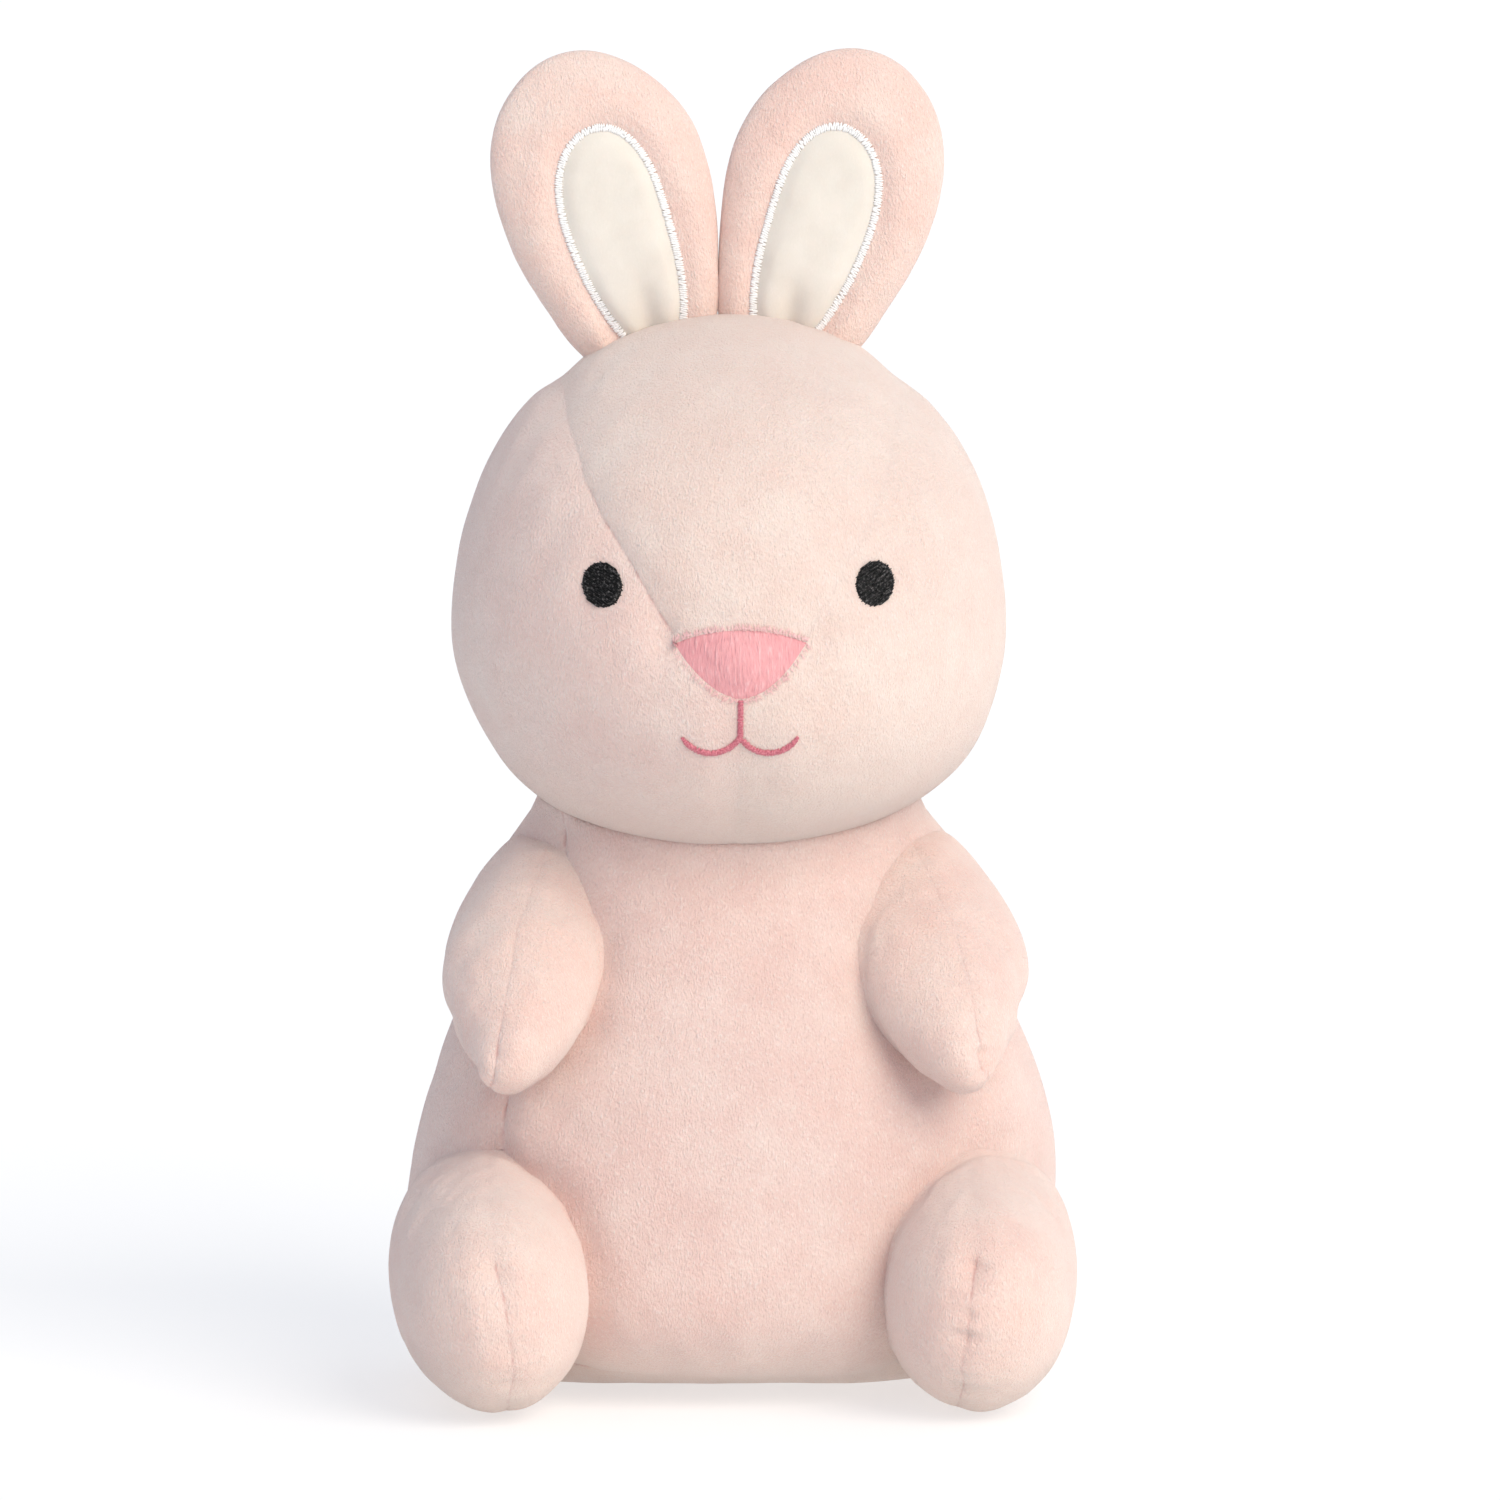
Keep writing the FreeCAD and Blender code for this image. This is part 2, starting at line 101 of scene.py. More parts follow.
def split(arrays, tris, edges, inverse, marked, t=0.5):
    """Adds a vertex on each marked edge, at t of the way along it, and splits the triangles that have it."""
    new = np.full(len(edges), -1)
    new[marked] = len(arrays[0]) + np.arange(len(marked))
    a, b = edges[marked].T
    arrays = [np.concatenate([q, q[a] + (q[b] - q[a]) * np.reshape(t, (-1, 1))]) for q in arrays]
    mids = new[inverse]
    count = (mids >= 0).sum(1)

    def corners(which, first):
        tri, mid = tris[which], mids[which]
        row = np.arange(len(tri))
        order = [(first + k) % 3 for k in range(3)]
        return [tri[row, k] for k in order] + [mid[row, k] for k in order]

    one, two, three = (count == k for k in (1, 2, 3))
    parts = [tris[count == 0]]
    p, q, r, pq, _, _ = corners(one, np.argmax(mids[one] >= 0, axis=1))
    parts += [np.stack(s, 1) for s in ((p, pq, r), (pq, q, r))]
    p, q, r, _, qr, rp = corners(two, np.argmin(mids[two] >= 0, axis=1))
    parts += [np.stack(s, 1) for s in ((qr, r, rp), (p, q, qr), (p, qr, rp))]
    p, q, r, pq, qr, rp = corners(three, np.zeros(three.sum(), int))
    parts += [np.stack(s, 1) for s in ((p, pq, rp), (pq, q, qr), (rp, qr, r), (pq, qr, rp))]
    return arrays, np.concatenate(parts)


def split_all(arrays, tris):
    edges, inverse = unique_edges(tris)
    return split(arrays, tris, edges, inverse, np.arange(len(edges)))


def face_normals(points, tris):
    a, b, c = (points[tris[:, k]] for k in range(3))
    return np.cross(b - a, c - a)


def ball(level):
    """Directions spread evenly over a sphere, and the triangles between them."""
    g = (1 + math.sqrt(5)) / 2
    points = [(s * a, t * b, 0) for a, b in ((1, g),) for s in (-1, 1) for t in (-1, 1)]
    points = points + [(0, x, y) for x, y, _ in points] + [(y, 0, x) for x, y, _ in points]
    dirs = unit(np.array(points, float))
    near = np.linalg.norm(dirs[:, None] - dirs[None], axis=2) < 1.1
    tris = np.array([(i, j, k) for i in range(12) for j in range(i) for k in range(j)
                     if near[i, j] and near[j, k] and near[i, k]])
    facing = np.einsum("ij,ij->i", face_normals(dirs, tris), dirs[tris[:, 0]])
    tris[facing < 0] = tris[facing < 0][:, ::-1]
    for _ in range(level):
        (dirs,), tris = split_all([dirs], tris)
        dirs = unit(dirs)
    return dirs, tris


def summed(index, values, size):
    return np.stack([np.bincount(index, values[:, k], size) for k in range(values.shape[1])], 1)


def normals(points, tris):
    face = face_normals(points, tris)
    return unit(sum(summed(tris[:, k], face, len(points)) for k in range(3)))


def smoothed(values, tris, rounds):
    edges, _ = unique_edges(tris)
    size = len(values)
    count = np.bincount(edges.ravel(), minlength=size)[:, None]
    for _ in range(rounds):
        near = summed(edges[:, 0], values[edges[:, 1]], size) + summed(edges[:, 1], values[edges[:, 0]], size)
        values = (values + near / count) / 2
    return values


def distance_to(points, targets):
    """How far each point is from the nearest target, and that target."""
    tree = KDTree(len(targets))
    for i, p in enumerate(targets):
        tree.insert(p, i)
    tree.balance()
    found = [tree.find(p) for p in points]
    return np.array([f[2] for f in found]), targets[[f[1] for f in found]]


def pressed(points, origin, normal, limit, soft=1.0):
    """Pushed back where it stands out past a plane, with the edge softened."""
    normal = unit(np.array(normal, float))
    over = ((points - origin) @ normal - limit) / soft
    return points - normal * (soft * np.logaddexp(0, over))[:, None]


# ------ forms: from directions to points in the CAD frame
def arc(x, z, radius, start, end, count=80):
    """Points along an arc in a profile, between two angles in degrees."""
    t = np.radians(np.linspace(start, end, count))
    return np.stack([x + radius * np.cos(t), z + radius * np.sin(t)], 1)


def by_angle(line, middle):
    """Distance from a point on the axis at this height to a profile, by the angle above the horizontal."""
    x, z = (line - (0, middle)).T
    angle, far = np.arctan2(z, x), np.hypot(x, z)
    return lambda a: np.interp(a, angle, far)


def turned(arcs, middle, scale=(1, 1, 1), axes=np.eye(3), at=(0, 0, 0), stretch=1.0):
    """A form turned about the Z axis and scaled, then placed with its own axes along the rows of axes."""
    reach = by_angle(np.concatenate([arc(*a) for a in arcs]), middle)

    def form(dirs):
        d = unit(dirs * np.array([1, 1, stretch]))
        p = d * reach(np.arctan2(d[:, 2], np.hypot(d[:, 0], d[:, 1])))[:, None]
        p[:, 2] += middle
        return (p * scale) @ axes + at

    return form


def pod_arcs(root, tip, belly, length):
    span = length - tip
    to_root, to_tip = belly - root, belly - tip
    along = (to_root**2 - to_tip**2 + span**2) / (2 * span)
    out = math.sqrt(to_root**2 - along**2)
    first, second = math.degrees(math.atan2(-along, out)), math.degrees(math.atan2(span - along, out))
    return [(0, 0, root, -90, first), (-out, along, belly, first, second), (0, span, tip, second, 90)]


def head_arcs():
    under, cheek, temple, wide = 66.0, 38.0, 75.0, 52.3
    bottom, top = 101.5, 203.5
    angle = math.degrees(math.asin((wide - cheek) / (under - cheek)))
    widest_z = bottom + under - (under - cheek) * math.cos(math.radians(angle))
    rise, temple_x = top - widest_z, wide - temple
    crown = (temple**2 - temple_x**2 - rise**2) / (2 * (temple - rise))
    turn = math.degrees(math.atan2(top - crown - widest_z, -temple_x))
    return [(0, bottom + under, under, -90, angle - 90), (wide - cheek, widest_z, cheek, angle - 90, 0),
            (temple_x, widest_z, temple, 0, turn), (0, top - crown, crown, turn, 90)]


HEAD_Y, HEAD_MIDDLE = -4.0, 148.0
head_form = turned(head_arcs(), HEAD_MIDDLE, at=(0, HEAD_Y, 0))
TORSO_SQUASH, TORSO_MIDDLE = 47.5 / 62.5, 48.0
NOD_CENTRE, DISH_RADIUS = np.array([0, HEAD_Y, 167.5]), 65.5


def torso_line():
    """The torso's profile before it is squashed: seat, bottom corner, flank, and straight on above it."""
    centre_z, corner_x, corner, flank_x, flank, flank_end, top_z = 26.5, 35.7, 26.8, -39.5, 102.0, 22.8, 130.0
    foot = np.stack([np.linspace(0, corner_x, 30), np.full(30, centre_z - corner)], 1)
    side = arc(flank_x, centre_z, flank, 0, flank_end, 60)
    z = np.linspace(side[-1, 1], top_z, 60)
    above = np.stack([side[-1, 0] - (z - z[0]) * math.tan(math.radians(flank_end)), z], 1)
    cap = np.stack([np.linspace(above[-1, 0], 0, 30), np.full(30, top_z)], 1)
    return np.concatenate([foot, arc(corner_x, centre_z, corner, -90, 0), side, above, cap])


TORSO_REACH = by_angle(torso_line(), TORSO_MIDDLE)


def torso_form(dirs):
    """The seat and flanks, up to the dish under the head, with a rounded shoulder between them."""
    p = dirs * TORSO_REACH(np.arctan2(dirs[:, 2], np.hypot(dirs[:, 0], dirs[:, 1])))[:, None]
    p[:, 0] *= 1 + np.where(p[:, 0] > 0, 0.13, 0.10) * bell(p[:, 2] + TORSO_MIDDLE - 98, 11)  # shoulders
    p[:, 1] *= TORSO_SQUASH
    far = np.linalg.norm(p, axis=1)
    d = p / far[:, None]
    middle = np.array([0, 0, TORSO_MIDDLE])
    b = d @ (middle - NOD_CENTRE)
    c = (middle - NOD_CENTRE) @ (middle - NOD_CENTRE) - DISH_RADIUS**2
    root = b * b - c
    dish = np.where((root > 0) & (b < 0), -b - np.sqrt(np.maximum(root, 0)), 400.0)
    blend = 1.0
    h = np.clip(0.5 + 0.5 * (dish - far) / blend, 0, 1)
    near = dish + (far - dish) * h - blend * h * (1 - h)
    p = d * near[:, None] + middle
    p[:, 2] += 4.0 * ramp(-p[:, 1], 0, 30) * (1 - ramp(p[:, 2], 0, 24))  # the seat's front edge
    p[:, 0] += 1.8 * bell(p[:, 2] - 58, 24)  # it leans to the rabbit's left
    return p


SHOULDER, ARM_TIP = np.array([36.0, -6.0, 94.0]), np.array([43.2, -49.0, 64.2])
HIP, LEG_DROOP = np.array([45.3, -16.0, 24.8]), math.radians(4.5)


def arm_form(side):
    """An arm, flattened above and outside. The rabbit's left one is the fuller."""
    tip_in, fuller, limit = (1.2, 0.21, 12.6) if side > 0 else (0.0, 0.11, 11.0)
    along = ARM_TIP - (tip_in, 0, 0) - SHOULDER
    z = unit(along)
    x = unit(np.cross(UP, z))
    axes = np.stack([x, np.cross(z, x), z])
    arcs = pod_arcs(root=14.0, tip=6.0, belly=80.0, length=np.linalg.norm(along))
    form = turned(arcs, middle=22.0, stretch=1.7)

    def arm(dirs):
        p = form(dirs * (side, 1, 1))
        p[:, 0] *= 1 + fuller * bell(p[:, 2] - 24, 20)
        p = pressed(p @ axes + SHOULDER, SHOULDER, (0.726, 0, 0.687), limit, 2.5)
        p = pressed(p, SHOULDER, (0.1, 0, 1), 11.3)
        return p * (side, 1, 1)

    return arm


def leg_form(side):
    out, down = math.cos(LEG_DROOP), math.sin(LEG_DROOP)
    axes = np.array([[1.0, 0, 0], [0, -down, out], [0, -out, -down]])
    arcs = pod_arcs(root=24.0, tip=21.0, belly=120.0, length=50.1)
    form = turned(arcs, middle=14.0, scale=(19.6 / 24.1, 1, 1), axes=axes, at=HIP, stretch=1.3)
    return lambda dirs: form(dirs * (side, 1, 1)) * (side, 1, 1)


# ------ cloth
CLOTH_FRAMES, CLOTH_SCALE = 14, 10  # the cloth is simulated ten times as large
CLOTH_SETTINGS = {
    "quality": 5, "mass": 0.3, "tension_stiffness": 12, "compression_stiffness": 12, "shear_stiffness": 4,
    "bending_stiffness": 0.15, "air_damping": 4, "use_pressure": True, "uniform_pressure_force": 6.0,
    "shrink_min": 0.0, "shrink_max": 0.22}


def puckers(points, tris, shrink, most):
    """What a short cloth simulation adds: the seams draw up, and the stuffing's pressure rounds the rest.

    Only the small shapes are kept, at most this many mm high, so the part stays the size of its form.
    """
    large = CLOTH_SCALE * MM
    o = new_object("cloth", points * large, tris)
    group = o.vertex_groups.new(name="shrink")
    for i in np.nonzero(shrink > 0.02)[0]:
        group.add([int(i)], float(shrink[i]), "REPLACE")
    cloth = o.modifiers.new("cloth", "CLOTH")
    for key, value in CLOTH_SETTINGS.items():
        setattr(cloth.settings, key, value)
    cloth.settings.effector_weights.gravity = 0
    cloth.settings.vertex_group_shrink = group.name
    cloth.point_cache.frame_start, cloth.point_cache.frame_end = 1, CLOTH_FRAMES
    for f in range(1, CLOTH_FRAMES + 1):
        bpy.context.scene.frame_set(f)
    mesh = o.evaluated_get(bpy.context.evaluated_depsgraph_get()).to_mesh()
    moved = np.empty(len(points) * 3, np.float32)
    mesh.vertices.foreach_get("co", moved)
    bpy.data.objects.remove(o)
    bpy.context.scene.frame_set(1)
    n = normals(points, tris)
    push = np.einsum("ij,ij->i", moved.reshape(-1, 3) / large - points, n)[:, None]
    push = smoothed(push, tris, 2) - smoothed(push, tris, 40)
    return n * (most * np.tanh(0.6 * push / most))


def new_object(name, points, tris, smooth=None):
    mesh = bpy.data.meshes.new(name)
    mesh.vertices.add(len(points))
    mesh.vertices.foreach_set("co", np.asarray(points, np.float32).ravel())
    mesh.loops.add(len(tris) * 3)
    mesh.loops.foreach_set("vertex_index", np.asarray(tris, np.int32).ravel())
    mesh.polygons.add(len(tris))
    mesh.polygons.foreach_set("loop_start", np.arange(0, len(tris) * 3, 3, dtype=np.int32))
    mesh.polygons.foreach_set("use_smooth", np.ones(len(tris), bool) if smooth is None else smooth)
    mesh.update(calc_edges=True)
    o = bpy.data.objects.new(name, mesh)
    bpy.context.scene.collection.objects.link(o)
    return o


# ------ skins: cut along the seams, puckered, split in panels
def cut_along(seam, form, dirs, push, tris, fixed):
    """Puts vertices exactly on the line where seam is 0, so that no triangle crosses it.

    A free vertex within snap of an edge's length moves onto the line. The other crossed edges are split.
    """
    snap = 0.35
    f = seam(form(dirs))
    edges, _ = unique_edges(tris)
    a, b = edges.T
    cross = f[a] * f[b] < 0
    a, b = a[cross], b[cross]
    t = f[a] / (f[a] - f[b])
    first, last = t < snap, t > 1 - snap
    who = np.concatenate([a[first], b[last]])
    to = np.concatenate([b[first], a[last]])
    far = np.concatenate([t[first], 1 - t[last]])
    free = ~fixed[who]
    who, to, far = who[free], to[free], far[free]
    order = np.argsort(-far, kind="stable")
    who, to, far = who[order], to[order], far[order]
    here, there = dirs.copy(), push.copy()
    here[who] = dirs[who] + (dirs[to] - dirs[who]) * far[:, None]
    there[who] = push[who] + (push[to] - push[who]) * far[:, None]
    dirs, push = unit(here), there
    f[who] = 0
    f[np.abs(f) < 1e-6] = 0
    edges, inverse = unique_edges(tris)
    a, b = edges.T
    marked = np.nonzero(f[a] * f[b] < 0)[0]
    t = f[a[marked]] / (f[a[marked]] - f[b[marked]])
    before = len(dirs)
    (dirs, push), tris = split([dirs, push], tris, edges, inverse, marked, t)
    fixed = np.concatenate([fixed | (f == 0), np.ones(len(dirs) - before, bool)])
    return unit(dirs), push, tris, fixed


def seam_edges(tris, label):
    """The edges where two panels meet."""
    edges, inverse = unique_edges(tris)
    low, high = np.full(len(edges), 99), np.full(len(edges), -1)
    for k in range(3):
        np.minimum.at(low, inverse[:, k], label)
        np.maximum.at(high, inverse[:, k], label)
    return edges[low != high]


def skin(form, seams, panel, coarse, fine, seam_width=2.2, near=3.0, longest=0.55, passes=2, most=0.55):
    """A closed skin with vertices on its seams: directions, cloth push, triangles and panel numbers."""
    dirs, tris = ball(coarse)
    base = form(dirs)
    label = panel(base[tris].mean(1))
    on_seam = np.unique(seam_edges(tris, label))
    away, _ = distance_to(base, base[on_seam])
    push = puckers(base, tris, bell(away, seam_width), most)
    for _ in range(fine - coarse):
        (dirs, push), tris = split_all([dirs, push], tris)
        dirs = unit(dirs)
    push = smoothed(push, tris, 1)
    fixed = np.zeros(len(dirs), bool)
    for seam in seams:
        dirs, push, tris, fixed = cut_along(seam, form, dirs, push, tris, fixed)
    for k in range(passes):
        base = form(dirs)
        label = panel(base[tris].mean(1))
        line = np.unique(seam_edges(tris, label))
        away, _ = distance_to(base, base[line])
        edges, inverse = unique_edges(tris)
        a, b = edges.T
        long = np.linalg.norm(base[a] - base[b], axis=1) > longest
        marked = np.nonzero(long & (np.minimum(away[a], away[b]) < near / (k + 1)))[0]
        (dirs, push), tris = split([dirs, push], tris, edges, inverse, marked)
        dirs = unit(dirs)
    return dirs, push, tris, panel(form(dirs)[tris].mean(1))


def sew(points, tris, label, depth, width, dip, dip_width, pucker, seed, amount=None, free=None):
    """Draws the skin in along its seams, with short folds across. Returns points and nearness to a seam.

    amount(foot) scales this by where on the seam it is, and free is 0 where the skin keeps to its form.
    """
    line = np.unique(seam_edges(tris, label))
    away, foot = distance_to(points, points[line])
    n = normals(points, tris)
    worked = 0.55 + 0.45 * noise(foot, 17.0, seed)
    folds = noise(foot, 2.2, seed + 1) * 0.7 + noise(foot, 5.0, seed + 2) * 0.5
    reach = np.exp(-away / (2.8 + 1.5 * noise(foot, 9.0, seed + 3)))
    tight = 1.0 if amount is None else amount(foot)
    groove = depth * tight * np.exp(-away / width)
    height = (pucker * worked * folds * reach - dip * bell(away, dip_width) - groove) * tight
    height += 0.35 * noise(points, 24.0, seed + 4) + 0.10 * noise(points, 7.0, seed + 5)
    if free is not None:
        height *= free
    return points + n * height[:, None], np.exp(-away / 1.1) * np.minimum(tight, 1.0)


def walls_round(tris, count):
    """Triangles between the open edge of a sheet and its copy, whose points come after it."""
    directed = edges_round(tris)
    a, b = directed[~np.isin(directed @ (count, 1), directed @ (1, count))].T
    return np.concatenate([np.stack([b, a, a + count], 1), np.stack([b, a + count, b + count], 1)])


def close_panels(panels, points, tris, label, near_seam, rest, body=None, bend=None):
    """One closed piece of fabric for each panel number: outside, inside, and the cut edge between them.

    panels has a row for each: the name, the material and its slot, and the CAD nodes that the piece replaces.
    """
    n = normals(points, tris)
    inside = points - n * FABRIC
    for number, (name, material, slot, hides) in enumerate(panels):
        used, index = np.unique(tris[label == number], return_inverse=True)
        outer = index.reshape(-1, 3)
        count = len(used)
        faces = np.concatenate([outer, outer[:, ::-1] + count, walls_round(outer, count)])
        smooth = np.ones(len(faces), bool)
        smooth[2 * len(outer):] = False
        o = new_object(name, np.concatenate([points[used], inside[used]]) * MM, faces, smooth)
        o.data.normals_split_custom_set_from_vertices(np.concatenate([n[used], -n[used]]))
        give(o, "rest", np.tile(rest[used], (2, 1)))
        give(o, "seam", np.tile(near_seam[used], 2))
        finish_piece(o, material, slot, body, hides, bend)


def give(o, name, values):
    kind, key = ("FLOAT_VECTOR", "vector") if values.ndim == 2 else ("FLOAT", "value")
    o.data.attributes.new(name, kind, "POINT").data.foreach_set(key, values.astype(np.float32).ravel())


def laid(name, points, tris, shift=0.0):
    """A new object whose material keeps to these points in millimetres, wherever the shift puts them."""
    o = new_object(name, (points + shift) * MM, tris)
    give(o, "rest", points)
    return o


def tubes(paths, lift, radius, sides=6, flat=0.75, taper=0.35):
    """Threads: a tube along each row of paths (m, k, 3), with lift (m, k, 3) pointing off the fabric."""
    m, k, _ = paths.shape
    along = unit(np.gradient(paths, axis=1))
    across = unit(np.cross(along, lift))
    up = np.cross(across, along)
    end = np.minimum(np.arange(k), np.arange(k)[::-1])
    size = radius * np.where(end == 0, taper, 1.0)[None, :, None, None]
    turn = np.linspace(0, 2 * np.pi, sides, endpoint=False)
    wide, high = np.cos(turn)[:, None], (flat * np.sin(turn))[:, None]
    ring = (across[:, :, None] * wide + up[:, :, None] * high) * size
    points = (paths[:, :, None] + ring).reshape(m, k * sides, 3)
    points = np.concatenate([points, paths[:, :1], paths[:, -1:]], axis=1)
    i, j = np.meshgrid(np.arange(k - 1), np.arange(sides), indexing="ij")
    a, b = (i * sides + j).ravel(), (i * sides + (j + 1) % sides).ravel()
    j = np.arange(sides)
    last = (k - 1) * sides
    tris = np.concatenate([
        np.stack([a, b, b + sides], 1), np.stack([a, b + sides, a + sides], 1),
        np.stack([np.full(sides, k * sides), (j + 1) % sides, j], 1),
        np.stack([np.full(sides, k * sides + 1), last + j, last + (j + 1) % sides], 1),
    ])
    per = k * sides + 2
    tris = (tris[None] + (np.arange(m) * per)[:, None, None]).reshape(-1, 3)
    return points.reshape(-1, 3), tris


class Surface:
    """A finished skin that things can be laid on from the front or the back."""

    def __init__(self, points, tris):
        self.tree = BVHTree.FromPolygons(points.tolist(), tris.tolist())

    def under(self, x, z, towards=1.0):
        """The first point met along Y from outside, and the fabric's normal there."""
        hit, n = [], []
        for a, b in zip(np.ravel(x), np.ravel(z)):
            place, normal, _, _ = self.tree.ray_cast(Vector((a, -150 * towards, b)), Vector((0, towards, 0)))
            hit.append(place)
            n.append(normal)
        shape = np.shape(x) + (3,)
        return np.array(hit).reshape(shape), np.array(n).reshape(shape)


# ------ materials
def shader(name, **values):
    m = bpy.data.materials.new(name)
    m.use_nodes = True
    principled = m.node_tree.nodes["Principled BSDF"]
    for key, value in values.items():
        principled.inputs[key.replace("_", " ")].default_value = value
    return m, principled


def node(m, kind, inputs=(), **values):
    n = m.node_tree.nodes.new("ShaderNode" + kind)
    for key, value in values.items():
        setattr(n, key, value)
    for key, value in dict(inputs).items():
        if isinstance(value, bpy.types.NodeSocket):
            m.node_tree.links.new(value, n.inputs[key])
        else:
            n.inputs[key].default_value = value
    return n


def speckle(m, place, size, detail=2.0, stretch=(1, 1, 1)):
    """Noise with lumps of this many millimetres."""
    scale = tuple(s / size for s in stretch)
    at = node(m, "VectorMath", {0: place, 1: scale}, operation="MULTIPLY").outputs[0]
    lumps = node(m, "TexNoise", {"Vector": at, "Scale": 1.0, "Detail": detail, "Roughness": 0.6})
    return lumps.outputs["Fac"]


def mixed(m, amount, a, b, blend="MIX"):
    return node(m, "Mix", {0: amount, 6: a, 7: b}, data_type="RGBA", blend_type=blend).outputs[2]


def remap(m, value, low, high, to_low=0.0, to_high=1.0):
    return node(m, "MapRange", {"Value": value, "From Min": low, "From Max": high, "To Min": to_low,
                                "To Max": to_high}).outputs[0]


def rgb(r, g, b):
    """Linear colour from one given the way a picture stores it."""
    return tuple((c / 12.92 if c <= 0.04045 else ((c + 0.055) / 1.055) ** 2.4) for c in (r, g, b)) + (1.0,)


def plush(name, colour, shade, grain=0.34, nap=(1, 1, 0.5), bump=1.2, tip=(1.0, 0.97, 0.95), sheen=0.9,
          pile=1.4, painted_bounce_heights=(15.0, 3.0)):
    """Short pile: brighter fibre tips over a deeper base, laid in soft patches, with a darker line at seams.

    The bright speckle is partly the pile's grain and partly painted sparkle of light on the tips. The line at
    seams is painted crease shade, partly the pile parted there. Painted bounce light turns it paler from the
    first of the two given heights down to the second.
    """
    m, principled = shader(name, Roughness=0.92, Sheen_Weight=sheen, Sheen_Roughness=0.45,
                           Sheen_Tint=rgb(*tip), Specular_IOR_Level=0.2, Subsurface_Weight=0.12,
                           Subsurface_Radius=(1.0, 0.55, 0.4), Subsurface_Scale=0.003)
    place = node(m, "Attribute", attribute_name="rest").outputs["Vector"]
    seam = node(m, "Attribute", attribute_name="seam").outputs["Fac"]
    fine = speckle(m, place, grain, 3.0, nap)
    tuft = speckle(m, place, 1.6, 2.0, nap)
    lay = speckle(m, place, 9.0, 2.0)
    broad = speckle(m, place, 34.0, 1.0)
    tone = mixed(m, remap(m, broad, 0.3, 0.7), rgb(*shade), rgb(*colour))
    tone = mixed(m, remap(m, lay, 0.35, 0.75, 0.0, 0.35), tone, rgb(*tip), "SOFT_LIGHT")
    # Painted bounce light: paler towards the bottom, as if lit by the floor below.
    height = node(m, "SeparateXYZ", {0: place}).outputs[2]
    tone = mixed(m, remap(m, height, *painted_bounce_heights, 0.0, 0.5), tone, rgb(0.96, 0.88, 0.82))
    # Bright fibre-tip speckle: partly the pile's grain, partly painted sparkle of light on the tips.
    tone = mixed(m, remap(m, fine, 0.54, 0.74, 0.0, 0.34 * pile), tone, rgb(*tip))
    tone = mixed(m, remap(m, fine, 0.46, 0.26, 0.0, 0.28 * pile), tone, rgb(*[c * 0.86 for c in shade]))
    # A broken darker line along tight seams: painted crease shade, partly the pile parted at the seam.
    dashed_seam_shade = mixed(m, remap(m, tuft, 0.40, 0.60), (0, 0, 0, 1), (1, 1, 1, 1))
    line = node(m, "Math", {0: remap(m, seam, 0.62, 1.0, 0.0, 0.6), 1: dashed_seam_shade}, operation="MULTIPLY").outputs[0]
    tone = mixed(m, line, tone, rgb(*[c * f for c, f in zip(shade, (0.88, 0.74, 0.74))]))
    m.node_tree.links.new(tone, principled.inputs["Base Color"])
    coarse = node(m, "Bump", {"Strength": bump * 0.3, "Distance": 0.0007, "Height": tuft})
    fuzz = node(m, "Bump", {"Strength": min(bump, 1.0), "Distance": 0.0005 * bump, "Height": fine,
                            "Normal": coarse.outputs[0]})
    m.node_tree.links.new(fuzz.outputs[0], principled.inputs["Normal"])
    return m


def thread(name, colour, dark, rough=0.45, sheen=0.3, grain=0.16, low=0.3, high=0.7, gloss=0.4, patchy=0.2):
    """Twisted embroidery thread with a soft shine."""
    m, principled = shader(name, Roughness=rough, Sheen_Weight=sheen, Specular_IOR_Level=gloss)
    place = node(m, "Attribute", attribute_name="rest").outputs["Vector"]
    twist = speckle(m, place, grain, 2.0)
    patch = speckle(m, place, 1.2, 1.0)
    # From dark to colour along the twist: for the rose and black threads the lighter colour is painted
    # highlight.
    tone = mixed(m, remap(m, twist, low, high), rgb(*dark), rgb(*colour))
    tone = mixed(m, remap(m, patch, 0.4, 0.7, 0.0, patchy), tone, rgb(*colour))
    m.node_tree.links.new(tone, principled.inputs["Base Color"])
    height = node(m, "Bump", {"Strength": 0.5, "Distance": 0.0001, "Height": twist})
    m.node_tree.links.new(height.outputs[0], principled.inputs["Normal"])
    return m


BODY = plush("body_plush", (0.948, 0.820, 0.785), (0.935, 0.790, 0.755))
# Painted light: the body plush made creamier for the head, which catches more of the key lamp, and paler at
# the chin as painted bounce light.
HEAD_LIT = plush("head_plush", (0.960, 0.858, 0.815), (0.945, 0.826, 0.782), painted_bounce_heights=(124, 106))
# Painted light: the body plush made creamier for the arms and legs, for the light on their sides and tips.
LIMB_LIT = plush("limb_plush", (0.975, 0.842, 0.797), (0.960, 0.805, 0.763))
# Painted shade: the head plush made darker and pinker for the side panel turned from the key lamp, partly the
# nap lying another way.
HEAD_SHADED_SIDE = plush("head_side_plush", (0.955, 0.842, 0.803), (0.940, 0.806, 0.770), painted_bounce_heights=(124, 106))
# Painted light: the body plush made brighter for the ears, against the shade on their turned sides.
EAR_LIT = plush("ear_plush", (0.985, 0.858, 0.812), (0.980, 0.825, 0.778), sheen=0.7)
LINING = plush("ear_lining", (0.885, 0.855, 0.818), (0.870, 0.838, 0.798), grain=0.3, bump=0.12, sheen=0.2,
               pile=0.3)
NOSE = plush("nose_plush", (0.930, 0.675, 0.685), (0.895, 0.575, 0.600), grain=0.42, nap=(1, 1, 0.18),
             bump=1.0, tip=(1.0, 0.82, 0.82), pile=1.9)
